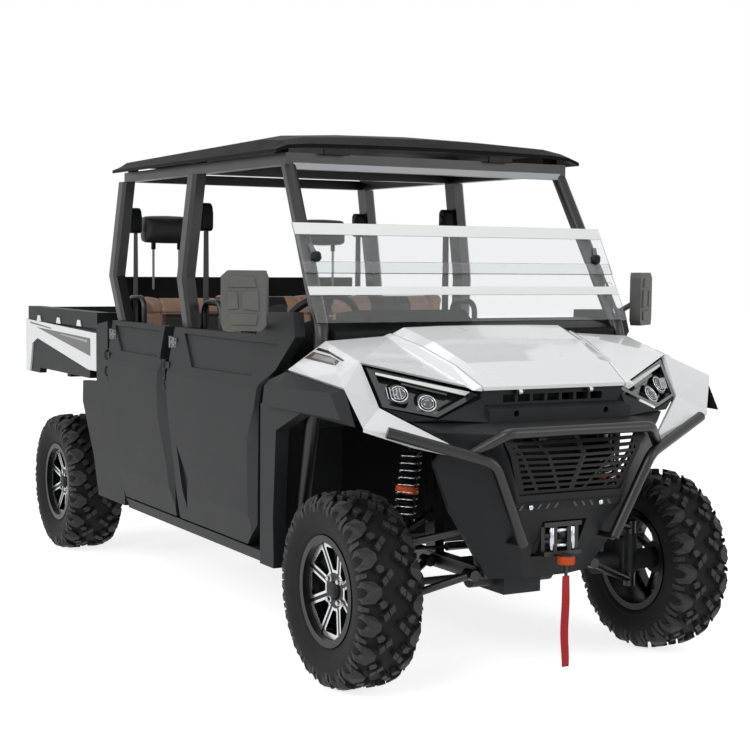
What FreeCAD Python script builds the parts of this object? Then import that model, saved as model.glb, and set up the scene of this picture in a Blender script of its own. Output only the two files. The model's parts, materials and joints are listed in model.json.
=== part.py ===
"""Crew side by side utility vehicle with four half doors, a roof, a half windscreen and a tipping cargo bed.

Millimetres. +X points forward, +Y to the vehicle's left, +Z up. The origin is on the ground, under the middle
of the overall length and width. Each sub-part is one STEP file in parts/.
"""
import FreeCAD
import Part
import math
import os

from FreeCAD import Vector

# Driving dimensions
WHEELBASE = 2980.0
FRONT_OVERHANG = 450.0
REAR_OVERHANG = 610.0
OVERALL_LENGTH = FRONT_OVERHANG + WHEELBASE + REAR_OVERHANG
TYRE_RADIUS = 343.0
FRONT_TYRE_WIDTH = 235.0
REAR_TYRE_WIDTH = 275.0
FRONT_TRACK = 1325.0
REAR_TRACK = 1305.0
RIM_RADIUS = 178.0
DOOR_HALF_WIDTH = 782.0
FLARE_OUTSET = 23.0
FLARE_HALF_WIDTH = DOOR_HALF_WIDTH + FLARE_OUTSET
SILL_BOTTOM_Z = 352.0
DOOR_BOTTOM_Z = 405.0
DOOR_TOP_Z = 1195.0
DOOR_EAR_Z = 1295.0
BED_TOP_Z = 1222.0
BED_FLOOR_Z = 945.0
ROOF_EDGE_Z = 1893.0
ROOF_CROWN_Z = 1982.0

FRONT_AXLE_X = OVERALL_LENGTH / 2 - FRONT_OVERHANG
REAR_AXLE_X = FRONT_AXLE_X - WHEELBASE

# Stations along the cab, measured back from the front axle
WINDSCREEN_FOOT_BACK = 225.0
DASH_BACK = 480.0
DOOR_SPLIT_BACK = 1412.0
REAR_DOOR_REAR_AHEAD = 808.0
REAR_DOOR_REAR_BACK = WHEELBASE - REAR_DOOR_REAR_AHEAD

# Clearances
PANEL_GAP = 8.0
SEAT_CLEARANCE = 0.3
CUT_OVERRUN = 20.0

DOOR_SPLIT_X = FRONT_AXLE_X - DOOR_SPLIT_BACK
REAR_DOOR_REAR_X = FRONT_AXLE_X - REAR_DOOR_REAR_BACK
DASH_X = FRONT_AXLE_X - DASH_BACK

LEFT = 1
RIGHT = -1
SIDES = (LEFT, RIGHT)
UP = Vector(0, 0, 1)
ALONG_X = Vector(1, 0, 0)
ALONG_Y = Vector(0, 1, 0)
NO_MOVE = Vector(0, 0, 0)


# Helpers that make shapes

STRAIGHT_ANGLE = math.radians(1)
SAME_POINT = SEAT_CLEARANCE / 1000
UPRIGHT_COSINE = 0.99
FULL_TURN = 360

def mix(low, high, share):
    """The value that lies at a share of the way from low to high."""
    return low + (high - low) * share


def block(low, high):
    """A box between two corners."""
    size = [b - a for a, b in zip(low, high)]
    return Part.makeBox(size[0], size[1], size[2], Vector(*low))


def corner_arc(before, corner, after, radius):
    """The start, middle and end of the arc that rounds a corner, or None where it is straight or sharp."""
    to_before = (before - corner).normalize()
    to_after = (after - corner).normalize()
    angle = to_before.getAngle(to_after)
    if radius <= 0 or angle < STRAIGHT_ANGLE or angle > math.pi - STRAIGHT_ANGLE:
        return None
    bisector = (to_before + to_after).normalize()
    reach = radius / math.tan(angle / 2)
    centre = corner + bisector * (radius / math.sin(angle / 2))
    return corner + to_before * reach, centre - bisector * radius, corner + to_after * reach


def rounded_wire(points, radius, closed=True):
    """A wire of straight runs joined by tangent arcs. The radius is one value, or one for each point."""
    count = len(points)
    radii = radius if isinstance(radius, (list, tuple)) else [radius] * count
    edges = []
    last = None
    first = None
    for i, corner in enumerate(points):
        arc = None
        if closed or 0 < i < count - 1:
            arc = corner_arc(points[i - 1], corner, points[(i + 1) % count], radii[i])
        start, end = (arc[0], arc[2]) if arc else (corner, corner)
        if last is not None and (start - last).Length > SAME_POINT:
            edges.append(Part.makeLine(last, start))
        if arc:
            edges.append(Part.Arc(*arc).toShape())
        if first is None:
            first = start
        last = end
    if closed and (first - last).Length > SAME_POINT:
        edges.append(Part.makeLine(last, first))
    return Part.Wire(edges)


def plate(points, radius, depth):
    """A plate of a rounded outline, extruded by a vector."""
    return Part.Face(rounded_wire(points, radius)).extrude(depth)


def tube(points, bend, diameter):
    """A round bar along straight runs joined by arcs."""
    path = rounded_wire(points, bend, closed=False)
    ring = Part.Wire(Part.makeCircle(diameter / 2, points[0], points[1] - points[0]))
    return path.makePipeShell([ring], True, True)


def rod(start, end, diameter):
    """A straight round bar."""
    return Part.makeCylinder(diameter / 2, (end - start).Length, start, end - start)


def bar(start, end, width, height):
    """A straight rectangular bar between two points, its height kept upright where it can be."""
    along = (end - start).normalize()
    side = (along.cross(UP) if abs(along.z) < UPRIGHT_COSINE else Vector(ALONG_Y)).normalize()
    top = side.cross(along).normalize()
    corners = [start + side * (sx * width / 2) + top * (sz * height / 2)
               for sx, sz in ((-1, -1), (1, -1), (1, 1), (-1, 1))]
    return Part.Face(Part.makePolygon(corners + [corners[0]])).extrude(end - start)


def skin(rows, depth):
    """A solid sheet lofted through matching rows of points, with its thickness along a vector."""
    wires = [Part.makePolygon(row + [p + depth for p in reversed(row)] + [row[0]]) for row in rows]
    return Part.makeLoft(wires, True, True)


def facets(points, depth):
    """A solid from four corners that needn't lie in one plane, with its thickness along a vector."""
    back = [p + depth for p in points]
    faces = []
    for corners in (points, back):
        for picked in ((0, 1, 2), (0, 2, 3)):
            ring = [corners[i] for i in picked]
            faces.append(Part.Face(Part.makePolygon(ring + [ring[0]])))
    for i, corner in enumerate(points):
        j = (i + 1) % len(points)
        faces.append(Part.Face(Part.makePolygon([corner, points[j], back[j], back[i], corner])))
    return Part.Solid(Part.makeShell(faces))


def flat(corners):
    """A flat face through corners."""
    return Part.Face(Part.makePolygon(corners + [corners[0]]))


def fan(corners):
    """Flat triangles that fill a ring of corners."""
    return [flat([corners[0], b, c]) for b, c in zip(corners[1:-1], corners[2:])]


def closed(faces):
    """The solid that a closed set of faces bounds."""
    shell = Part.makeShell(faces)
    shell.sewShape()
    solid = Part.Solid(shell)
    if solid.Volume < 0:
        solid.reverse()
    return solid


def panel(points, outlines, depth):
    """A closed sheet from corners joined into outlines by their places in the list, with a depth vector."""
    back = [p + depth for p in points]
    edges = set()
    faces = []
    for outline in outlines:
        for second, third in zip(outline[1:-1], outline[2:]):
            picked = (outline[0], second, third)
            edges.update(zip(picked, picked[1:] + picked[:1]))
            for corners in (points, back):
                faces.append(flat([corners[i] for i in picked]))
    for a, b in edges:
        if (b, a) not in edges:
            faces.append(flat([points[a], points[b], back[b], back[a]]))
    return closed(faces).removeSplitter()


def loft(rings):
    """A ruled solid through closed rings of matching points."""
    return Part.makeLoft([Part.makePolygon(ring + [ring[0]]) for ring in rings], True, True)


def fuse(shapes):
    """All the shapes joined into one, with leftover seams removed."""
    first, rest = shapes[0], shapes[1:]
    return first.multiFuse(rest).removeSplitter() if rest else first


def mirrored(shape):
    """The shape on the other side of the vehicle."""
    return shape.mirror(NO_MOVE, ALONG_Y)


def both_sides(shape):
    """The shape and its mirror image, as one compound."""
    return Part.makeCompound([shape, mirrored(shape)])


def on_side(shape, side):
    """A shape that was made for the left, on the side asked for."""
    return shape if side == LEFT else mirrored(shape)


def side_outline(shares, x_rear, x_front, z_low, z_high, y):
    """Points of a side panel's outline from shares of its length and height."""
    return [Vector(mix(x_rear, x_front, sx), y, mix(z_low, z_high, sz)) for sx, sz in shares]


NODES = {}


def node(name, shape):
    """Keeps a sub-part's shape under its name, as its separate solids."""
    solids = shape.Solids
    NODES[name] = solids[0] if len(solids) == 1 else Part.makeCompound(solids)


# Wheels

RIM_LIP_RADIUS = 194.0
RIM_LIP_THICKNESS = 6.0
RIM_SEAT_HALF_SHARE = 0.39
RIM_BARREL_WALL = 8.0
RIM_DISC_THICKNESS = 16.0
RIM_DISC_INSET = 34.0
HUB_BORE_RADIUS = 30.0
HUB_PAD_RADIUS = 72.0
SPOKE_COUNT = 8
SPOKE_RIM_GAP = 14.0
SPOKE_WIDTH = 30.0
TYRE_SECTOR_COUNT = 40
SIDEWALL_RADIUS_SHARE = 0.758
SHOULDER_RADIUS_SHARE = 0.889
SHOULDER_HALF_SHARE = 0.485
TREAD_EDGE_RADIUS_SHARE = 0.942
TREAD_EDGE_HALF_SHARE = 0.40
TREAD_RADIUS_SHARE = 0.953
TREAD_MIDDLE_HALF_SHARE = 0.03
LUG_EDGE_HALF_SHARE = 0.385
LUG_LEAN_SHARE = 0.6


def revolve_y(points, radius=0):
    """A ring turned about the Y axis from an outline given as (radius, y)."""
    outline = [Vector(r, y, 0) for r, y in points]
    return Part.Face(rounded_wire(outline, radius)).revolve(NO_MOVE, ALONG_Y, FULL_TURN)


def tyre(width):
    """The tyre about the Y axis: its carcass with a row of leaning lugs on each side of the middle."""
    step = 2 * math.pi / TYRE_SECTOR_COUNT
    flat_of_bore = math.cos(step / 2)
    seat = width * RIM_SEAT_HALF_SHARE
    outline = (
        ((RIM_RADIUS + SEAT_CLEARANCE) / flat_of_bore, seat, 0),
        ((RIM_LIP_RADIUS + SEAT_CLEARANCE) / flat_of_bore, seat, 0),
        (TYRE_RADIUS * SIDEWALL_RADIUS_SHARE, width / 2, 0),
        (TYRE_RADIUS * SHOULDER_RADIUS_SHARE, width * SHOULDER_HALF_SHARE, 0),
        (TYRE_RADIUS * TREAD_EDGE_RADIUS_SHARE, width * TREAD_EDGE_HALF_SHARE, 0),
        (TYRE_RADIUS * TREAD_RADIUS_SHARE, width * TREAD_MIDDLE_HALF_SHARE, LUG_LEAN_SHARE),
        (TYRE_RADIUS, width * LUG_EDGE_HALF_SHARE, 0),
        (TYRE_RADIUS, width * TREAD_MIDDLE_HALF_SHARE, LUG_LEAN_SHARE),
    )
    places = {}
    for side in SIDES:
        for i in range(TYRE_SECTOR_COUNT):
            for j, (radius, y, lean) in enumerate(outline):
                turn = (i + lean) * step - math.pi / 2
                places[side, i, j] = Vector(radius * math.cos(turn), side * y, radius * math.sin(turn))
    faces = []
    for i in range(TYRE_SECTOR_COUNT):
        after = (i + 1) % TYRE_SECTOR_COUNT
        for side in SIDES:
            now = [places[side, i, j] for j in range(len(outline))]
            then = [places[side, after, j] for j in range(len(outline))]
            bore, lip, wall, shoulder, edge, middle, lug_edge, lug_middle = range(len(outline))
            for a, b in ((bore, lip), (lip, wall), (wall, shoulder)):
                faces += fan([now[a], now[b], then[b], then[a]])
            if (i + (side == RIGHT)) % 2:
                faces += fan([now[shoulder], now[edge], then[edge], then[shoulder]])
                faces += fan([now[edge], now[middle], then[middle], then[edge]])
                continue
            faces += fan([now[shoulder], now[lug_edge], then[lug_edge], then[shoulder]])
            faces += fan([now[lug_edge], now[lug_middle], then[lug_middle], then[lug_edge]])
            faces += fan([now[middle], now[lug_middle], then[lug_middle], then[middle]])
            for end in (now, then):
                faces.append(flat([end[shoulder], end[lug_edge], end[edge]]))
                faces += fan([end[edge], end[lug_edge], end[lug_middle], end[middle]])
        for j in (bore, middle):
            faces += fan([places[LEFT, i, j], places[LEFT, after, j], places[RIGHT, after, j], places[RIGHT, i, j]])
    return closed(faces)


def rim(width):
    """The cast wheel: a barrel with two lips, and a disc near the outer face with eight windows."""
    seat = width * RIM_SEAT_HALF_SHARE
    lip = seat + SEAT_CLEARANCE
    well = RIM_RADIUS - RIM_BARREL_WALL
    barrel = revolve_y([
        (well, -lip - RIM_LIP_THICKNESS),
        (RIM_LIP_RADIUS, -lip - RIM_LIP_THICKNESS),
        (RIM_LIP_RADIUS, -lip),
        (RIM_RADIUS, -lip),
        (RIM_RADIUS, lip),
        (RIM_LIP_RADIUS, lip),
        (RIM_LIP_RADIUS, lip + RIM_LIP_THICKNESS),
        (well, lip + RIM_LIP_THICKNESS),
    ])
    face = lip - RIM_DISC_INSET
    disc = revolve_y([
        (HUB_BORE_RADIUS, face - RIM_DISC_THICKNESS),
        (well + RIM_BARREL_WALL / 2, face - RIM_DISC_THICKNESS),
        (well + RIM_BARREL_WALL / 2, face + RIM_DISC_THICKNESS),
        (HUB_PAD_RADIUS, face),
        (HUB_BORE_RADIUS, face),
    ])
    wheel = barrel.fuse(disc)
    step = 2 * math.pi / SPOKE_COUNT
    inner = HUB_PAD_RADIUS
    outer = well - SPOKE_RIM_GAP
    windows = []
    for i in range(SPOKE_COUNT):
        corners = []
        for r, sign in ((inner, -1), (outer, -1), (outer, 1), (inner, 1)):
            spread = step / 2 - math.asin(SPOKE_WIDTH / 2 / r)
            turn = i * step + sign * spread
            corners.append(Vector(r * math.cos(turn), face - RIM_DISC_INSET, r * math.sin(turn)))
        windows.append(plate(corners, RIM_BARREL_WALL, ALONG_Y * (2 * RIM_DISC_INSET + CUT_OVERRUN)))
    return wheel.cut(Part.makeCompound(windows))


def wheels():
    """Four tyres and four rims at their places."""
    for axle, x, track, width in (("front", FRONT_AXLE_X, FRONT_TRACK, FRONT_TYRE_WIDTH),
                                  ("rear", REAR_AXLE_X, REAR_TRACK, REAR_TYRE_WIDTH)):
        for name, side in (("left", LEFT), ("right", RIGHT)):
            place = Vector(x, track / 2, TYRE_RADIUS)
            for piece, shape in (("tyre", tyre(width)), ("rim", rim(width))):
                node(f"{piece}_{axle}_{name}", on_side(shape.translated(place), side))


# Chassis

RAIL_Y = 215.0
RAIL_WIDTH = 50.0
RAIL_HEIGHT = 50.0
RAIL_BOTTOM_Z = 362.0
RAIL_TOP_Z = RAIL_BOTTOM_Z + RAIL_HEIGHT
RAIL_FRONT_AHEAD = 148.0
RAIL_REAR_BEHIND = 470.0
CROSS_SIZE = 45.0
SIDE_RAIL_INSET = 112.0
SIDE_RAIL_Y = DOOR_HALF_WIDTH - SIDE_RAIL_INSET
SIDE_RAIL_SIZE = 40.0
UPRIGHT_SIZE = 38.0
TOWER_Y = 240.0
ARM_MOUNT_SPREAD = 150.0
FRONT_TOWER_TOP_Z = 900.0
FRONT_TOWER_BEHIND = 178.0
REAR_TOWER_TOP_Z = 850.0
ENGINE_MOUNT_AHEAD = 320.0
MUFFLER_BEHIND = 400.0
SHOCK_UPPER_Y = 415.0
REAR_WALL_AHEAD = 565.0
REAR_WALL_BACK = WHEELBASE - REAR_WALL_AHEAD
BED_PIVOT_BEHIND = 440.0
BED_PIVOT_Z = 872.0
BED_PIVOT_Y = 285.0
BED_PIVOT_PIN = 20.0


def chassis():
    """The welded frame: two main rails, side rails under the doors, and a tower over each axle."""
    parts = []
    front_x = FRONT_AXLE_X + RAIL_FRONT_AHEAD
    rear_x = REAR_AXLE_X - RAIL_REAR_BEHIND
    side_front_x = DASH_X - SIDE_RAIL_SIZE
    for side in SIDES:
        y = side * RAIL_Y
        parts.append(block((rear_x, y - RAIL_WIDTH / 2, RAIL_BOTTOM_Z),
                           (front_x, y + RAIL_WIDTH / 2, RAIL_TOP_Z)))
        y = side * SIDE_RAIL_Y
        parts.append(block((REAR_DOOR_REAR_X, y - SIDE_RAIL_SIZE / 2, RAIL_TOP_Z - SIDE_RAIL_SIZE),
                           (side_front_x, y + SIDE_RAIL_SIZE / 2, RAIL_TOP_Z)))
    cab_bars = (side_front_x - CROSS_SIZE / 2, mix(DASH_X, DOOR_SPLIT_X, 1 / 2), DOOR_SPLIT_X,
                mix(DOOR_SPLIT_X, REAR_DOOR_REAR_X, 1 / 2), REAR_DOOR_REAR_X + CROSS_SIZE / 2)
    for x in cab_bars:
        parts.append(block((x - CROSS_SIZE / 2, -SIDE_RAIL_Y, RAIL_TOP_Z - CROSS_SIZE),
                           (x + CROSS_SIZE / 2, SIDE_RAIL_Y, RAIL_TOP_Z)))
    for x in (front_x - CROSS_SIZE / 2, rear_x + CROSS_SIZE / 2, REAR_AXLE_X + ENGINE_MOUNT_AHEAD):
        parts.append(block((x - CROSS_SIZE / 2, -RAIL_Y, RAIL_TOP_Z - CROSS_SIZE),
                           (x + CROSS_SIZE / 2, RAIL_Y, RAIL_TOP_Z)))
    for axle_x, top in ((FRONT_AXLE_X, FRONT_TOWER_TOP_Z), (REAR_AXLE_X, REAR_TOWER_TOP_Z)):
        middle = top - UPRIGHT_SIZE / 2
        for x in (axle_x - ARM_MOUNT_SPREAD, axle_x + ARM_MOUNT_SPREAD):
            for side in SIDES:
                parts.append(bar(Vector(x, side * RAIL_Y, RAIL_TOP_Z - UPRIGHT_SIZE),
                                 Vector(x, side * TOWER_Y, middle), UPRIGHT_SIZE, UPRIGHT_SIZE))
            parts.append(bar(Vector(x, -TOWER_Y, middle), Vector(x, TOWER_Y, middle), UPRIGHT_SIZE, UPRIGHT_SIZE))
        reach = SHOCK_UPPER_Y + UPRIGHT_SIZE / 2
        parts.append(bar(Vector(axle_x, -reach, middle), Vector(axle_x, reach, middle), UPRIGHT_SIZE, UPRIGHT_SIZE))
    parts += upper_rails(FRONT_AXLE_X - FRONT_TOWER_BEHIND, FRONT_AXLE_X + ARM_MOUNT_SPREAD, FRONT_TOWER_TOP_Z,
                         FRONT_AXLE_X - FRONT_TOWER_BEHIND)
    pivot_x = REAR_AXLE_X - BED_PIVOT_BEHIND
    frame_front_x = FRONT_AXLE_X - REAR_WALL_BACK - UPRIGHT_SIZE
    parts += upper_rails(pivot_x - UPRIGHT_SIZE / 2, frame_front_x, REAR_TOWER_TOP_Z, frame_front_x)
    muffler_x = REAR_AXLE_X - MUFFLER_BEHIND
    middle = REAR_TOWER_TOP_Z - UPRIGHT_SIZE / 2
    parts.append(bar(Vector(muffler_x, -TOWER_Y, middle), Vector(muffler_x, TOWER_Y, middle),
                     UPRIGHT_SIZE, UPRIGHT_SIZE))
    for side in SIDES:
        y = side * TOWER_Y
        parts.append(block((pivot_x - UPRIGHT_SIZE / 2, y - UPRIGHT_SIZE / 2, REAR_TOWER_TOP_Z - UPRIGHT_SIZE),
                           (pivot_x + UPRIGHT_SIZE / 2, y + UPRIGHT_SIZE / 2, BED_PIVOT_Z)))
    reach = BED_PIVOT_Y + BED_PIVOT_PIN
    parts.append(rod(Vector(pivot_x, -reach, BED_PIVOT_Z), Vector(pivot_x, reach, BED_PIVOT_Z), BED_PIVOT_PIN))
    for side in SIDES:
        parts.append(bar(Vector(rear_x + CROSS_SIZE / 2, side * RAIL_Y, RAIL_TOP_Z - UPRIGHT_SIZE),
                         Vector(pivot_x, side * TOWER_Y, middle), UPRIGHT_SIZE, UPRIGHT_SIZE))
    node("chassis_frame", fuse(parts))


def upper_rails(rear_x, front_x, top, foot_x):
    """The two rails along the top of a tower, with a leg at one end down to the main rails."""
    parts = []
    middle = top - UPRIGHT_SIZE / 2
    for side in SIDES:
        y = side * TOWER_Y
        parts.append(bar(Vector(rear_x, y, middle), Vector(front_x, y, middle), UPRIGHT_SIZE, UPRIGHT_SIZE))
        parts.append(bar(Vector(foot_x, side * RAIL_Y, RAIL_TOP_Z - UPRIGHT_SIZE), Vector(foot_x, y, middle),
                         UPRIGHT_SIZE, UPRIGHT_SIZE))
    return parts


# Roll cage

A_PILLAR_DIAMETER = 56.0
A_PILLAR_FOOT_INSET = 122.0
A_PILLAR_FOOT_Y = DOOR_HALF_WIDTH - A_PILLAR_FOOT_INSET
A_PILLAR_TOP_INSET = 164.0
A_PILLAR_TOP_Y = DOOR_HALF_WIDTH - A_PILLAR_TOP_INSET
A_PILLAR_FOOT_Z = 1205.0
A_PILLAR_LEAN = 0.588
A_PILLAR_BASE_BACK = 430.0
A_PILLAR_BEND = 120.0
ROOF_RAIL_SIZE = 44.0
ROOF_RAIL_INSET = 164.0
ROOF_RAIL_Y = DOOR_HALF_WIDTH - ROOF_RAIL_INSET
ROOF_RAIL_END_AHEAD = 660.0
ROOF_RAIL_END_BACK = WHEELBASE - ROOF_RAIL_END_AHEAD
PILLAR_LENGTH = 82.0
PILLAR_WIDTH = 56.0
PILLAR_SHELF_Z = 1400.0
PILLAR_SHELF_INSET = 92.0
PILLAR_SHELF_Y = DOOR_HALF_WIDTH - PILLAR_SHELF_INSET
PILLAR_DOOR_INSET = 112.0
PILLAR_DOOR_Y = DOOR_HALF_WIDTH - PILLAR_DOOR_INSET
PILLAR_TOP_INSET = 142.0
PILLAR_TOP_Y = DOOR_HALF_WIDTH - PILLAR_TOP_INSET
PILLAR_TOP_Z = 1838.0
B_PILLAR_TOP_BACK = 1440.0
B_PILLAR_DOOR_BACK = 1420.0
C_PILLAR_TOP_AHEAD = 690.0
C_PILLAR_TOP_BACK = WHEELBASE - C_PILLAR_TOP_AHEAD
C_PILLAR_DOOR_AHEAD = 755.0
C_PILLAR_DOOR_BACK = WHEELBASE - C_PILLAR_DOOR_AHEAD

WINDSCREEN_FOOT_X = FRONT_AXLE_X - WINDSCREEN_FOOT_BACK
A_PILLAR_TOP_X = WINDSCREEN_FOOT_X - (PILLAR_TOP_Z - A_PILLAR_FOOT_Z) * A_PILLAR_LEAN


def pillar_ring(x, y, z, length, width):
    """A chamfered rectangular section of a door pillar at one height."""
    cut = width / 4
    half_l, half_w = length / 2, width / 2
    return [Vector(x + dx, y + dy, z) for dx, dy in (
        (half_l, -half_w), (half_l, half_w - cut), (half_l - cut, half_w),
        (-half_l + cut, half_w), (-half_l, half_w - cut), (-half_l, -half_w))]


def door_pillar(top_back, door_back):
    """A moulded door pillar from the side rail up to the roof rail, kinked outward above the doors."""
    top_x = FRONT_AXLE_X - top_back
    door_x = FRONT_AXLE_X - door_back
    return loft([
        pillar_ring(door_x, SIDE_RAIL_Y, RAIL_TOP_Z, PILLAR_LENGTH, PILLAR_WIDTH),
        pillar_ring(door_x, PILLAR_DOOR_Y, DOOR_TOP_Z, PILLAR_LENGTH, PILLAR_WIDTH),
        pillar_ring(top_x, PILLAR_SHELF_Y, PILLAR_SHELF_Z, PILLAR_LENGTH, PILLAR_WIDTH),
        pillar_ring(top_x, PILLAR_TOP_Y, PILLAR_TOP_Z, PILLAR_LENGTH, PILLAR_WIDTH),
    ])


def cage():
    """The pillars and the roof frame."""
    base = Vector(FRONT_AXLE_X - A_PILLAR_BASE_BACK, A_PILLAR_FOOT_Y, RAIL_TOP_Z - A_PILLAR_DIAMETER)
    foot = Vector(WINDSCREEN_FOOT_X, A_PILLAR_FOOT_Y, A_PILLAR_FOOT_Z)
    head = Vector(A_PILLAR_TOP_X, A_PILLAR_TOP_Y, PILLAR_TOP_Z)
    past_head = head + (head - foot).normalize() * A_PILLAR_DIAMETER
    keep = block((A_PILLAR_TOP_X - A_PILLAR_DIAMETER, 0, RAIL_TOP_Z), (FRONT_AXLE_X, DOOR_HALF_WIDTH, PILLAR_TOP_Z))
    a_pillar = tube([base, foot, past_head], A_PILLAR_BEND, A_PILLAR_DIAMETER).common(keep)
    b_pillar = fuse([door_pillar(B_PILLAR_TOP_BACK, B_PILLAR_DOOR_BACK)] +
                    hinge_brackets(FRONT_AXLE_X - FRONT_DOOR_REAR_BACK - HINGE_BACK))
    c_pillar = fuse([door_pillar(C_PILLAR_TOP_BACK, C_PILLAR_DOOR_BACK)] +
                    hinge_brackets(FRONT_AXLE_X - REAR_DOOR_REAR_OUT_BACK - HINGE_BACK))
    node("cage_pillars", Part.makeCompound([both_sides(s) for s in (a_pillar, b_pillar, c_pillar)]))
    rail_low = PILLAR_TOP_Z
    rail_high = PILLAR_TOP_Z + ROOF_RAIL_SIZE
    half = ROOF_RAIL_SIZE / 2
    front_x = A_PILLAR_TOP_X + half
    rear_x = FRONT_AXLE_X - ROOF_RAIL_END_BACK
    parts = []
    for side in SIDES:
        y = side * ROOF_RAIL_Y
        parts.append(block((rear_x, y - half, rail_low), (front_x, y + half, rail_high)))
    for x in (rear_x + half, FRONT_AXLE_X - B_PILLAR_TOP_BACK, front_x - half):
        parts.append(block((x - half, -ROOF_RAIL_Y, rail_low), (x + half, ROOF_RAIL_Y, rail_high)))
    node("cage_roof_frame", fuse(parts))


# Roof

ROOF_INSET = 92.0
ROOF_HALF_WIDTH = DOOR_HALF_WIDTH - ROOF_INSET
ROOF_FRONT_BACK = 550.0
ROOF_REAR_AHEAD = 635.0
ROOF_REAR_BACK = WHEELBASE - ROOF_REAR_AHEAD
ROOF_THICKNESS = 14.0
ROOF_PAD_SIZE = 60.0
ROOF_Y_SHARES = (0.0, 0.45, 0.80, 0.93, 1.0)
ROOF_Z_SHARES = (1.0, 0.93, 0.78, 0.55, 0.0)
ROOF_STATION_SHARES = ((0.0, 0.40), (0.035, 0.70), (0.45, 0.88), (0.86, 1.0), (0.965, 0.74), (1.0, 0.34))


def roof():
    """The moulded roof panel, crowned both ways."""
    rear_x = FRONT_AXLE_X - ROOF_REAR_BACK
    front_x = FRONT_AXLE_X - ROOF_FRONT_BACK
    rows = []
    for along, rise in ROOF_STATION_SHARES:
        x = mix(rear_x, front_x, along)
        crown = mix(ROOF_EDGE_Z, ROOF_CROWN_Z, rise)
        half = [Vector(x, ROOF_HALF_WIDTH * sy, mix(ROOF_EDGE_Z, crown, sz))
                for sy, sz in zip(ROOF_Y_SHARES, ROOF_Z_SHARES)]
        rows.append([Vector(p.x, -p.y, p.z) for p in reversed(half[1:])] + half)
    shell = skin(rows, UP * -ROOF_THICKNESS)
    pads = []
    under = skin(rows, UP * -(ROOF_CROWN_Z - PILLAR_TOP_Z))
    for x in (A_PILLAR_TOP_X - ROOF_PAD_SIZE, FRONT_AXLE_X - B_PILLAR_TOP_BACK,
              FRONT_AXLE_X - ROOF_RAIL_END_BACK + ROOF_PAD_SIZE):
        for side in SIDES:
            pad = block((x - ROOF_PAD_SIZE / 2, side * ROOF_RAIL_Y - ROOF_PAD_SIZE / 4,
                         PILLAR_TOP_Z + ROOF_RAIL_SIZE),
                        (x + ROOF_PAD_SIZE / 2, side * ROOF_RAIL_Y + ROOF_PAD_SIZE / 4, ROOF_CROWN_Z))
            pads.append(pad.common(under))
    node("roof_panel", fuse([shell] + pads))


# Cab floor, dashboard and windscreen

FLOOR_THICKNESS = 12.0
FLOOR_INSET = 122.0
FLOOR_HALF_WIDTH = DOOR_HALF_WIDTH - FLOOR_INSET
SEAT_BOX_LENGTH = 430.0
SEAT_BOX_HEIGHT = 300.0
SEAT_BOX_INSET = 217.0
SEAT_BOX_WIDTH = 2 * (DOOR_HALF_WIDTH - SEAT_BOX_INSET)
FRONT_SEAT_FRONT_BACK = 930.0
REAR_SEAT_FRONT_AHEAD = 1150.0
REAR_SEAT_FRONT_BACK = WHEELBASE - REAR_SEAT_FRONT_AHEAD
REAR_WALL_THICKNESS = 20.0
REAR_WALL_TOP_Z = 1394.0
CUSHION_THICKNESS = 110.0
BACK_THICKNESS = 115.0
TOE_BACK = 525.0
DRIVER_SEAT_WIDTH = 520.0
FRONT_BACK_TOP_Z = 1365.0
REAR_BACK_TOP_Z = 1335.0
SEAT_SIDE_GAP = 20.0
HEADREST_Y = 417.0
HEADREST_WIDTH = 265.0
HEADREST_HEIGHT = 140.0
HEADREST_DEPTH = 90.0
HEADREST_Z = 1621.0
HEADREST_AHEAD = 628.0
HEADREST_BACK = WHEELBASE - HEADREST_AHEAD
DASH_FRONT_BACK = 203.0
DASH_DEPTH = 380.0
DASH_INSET = 162.0
DASH_HALF_WIDTH = DOOR_HALF_WIDTH - DASH_INSET
DASH_BOTTOM_Z = 880.0
DASH_FRONT_LOW_Z = 985.0
DASH_TOP_Z = 1262.0
HUMP_RISE = 34.0
HUMP_Y_LOW = -420.0
HUMP_Y_HIGH = 40.0
WHEEL_Y = -350.0
STEERING_TILT = 52.0
STEERING_X_BACK = 860.0
STEERING_Z = 1215.0
STEERING_DIAMETER = 350.0
STEERING_RIM = 30.0
RIM_SIDE_COUNT = 8
COLUMN_DIAMETER = 36.0
COLUMN_LENGTH = 200.0
COLUMN_HOUSING_SHARE = 1.2
SCREEN_THICKNESS = 5.0
SCREEN_CLEARANCE = 6.0
SCREEN_INSET = 92.0
SCREEN_HALF_WIDTH = DOOR_HALF_WIDTH - SCREEN_INSET
SCREEN_FOLD_Z = 1456.0
SCREEN_TOP_Z = 1596.0
SCREEN_BAND_HEIGHT = 42.0


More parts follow.
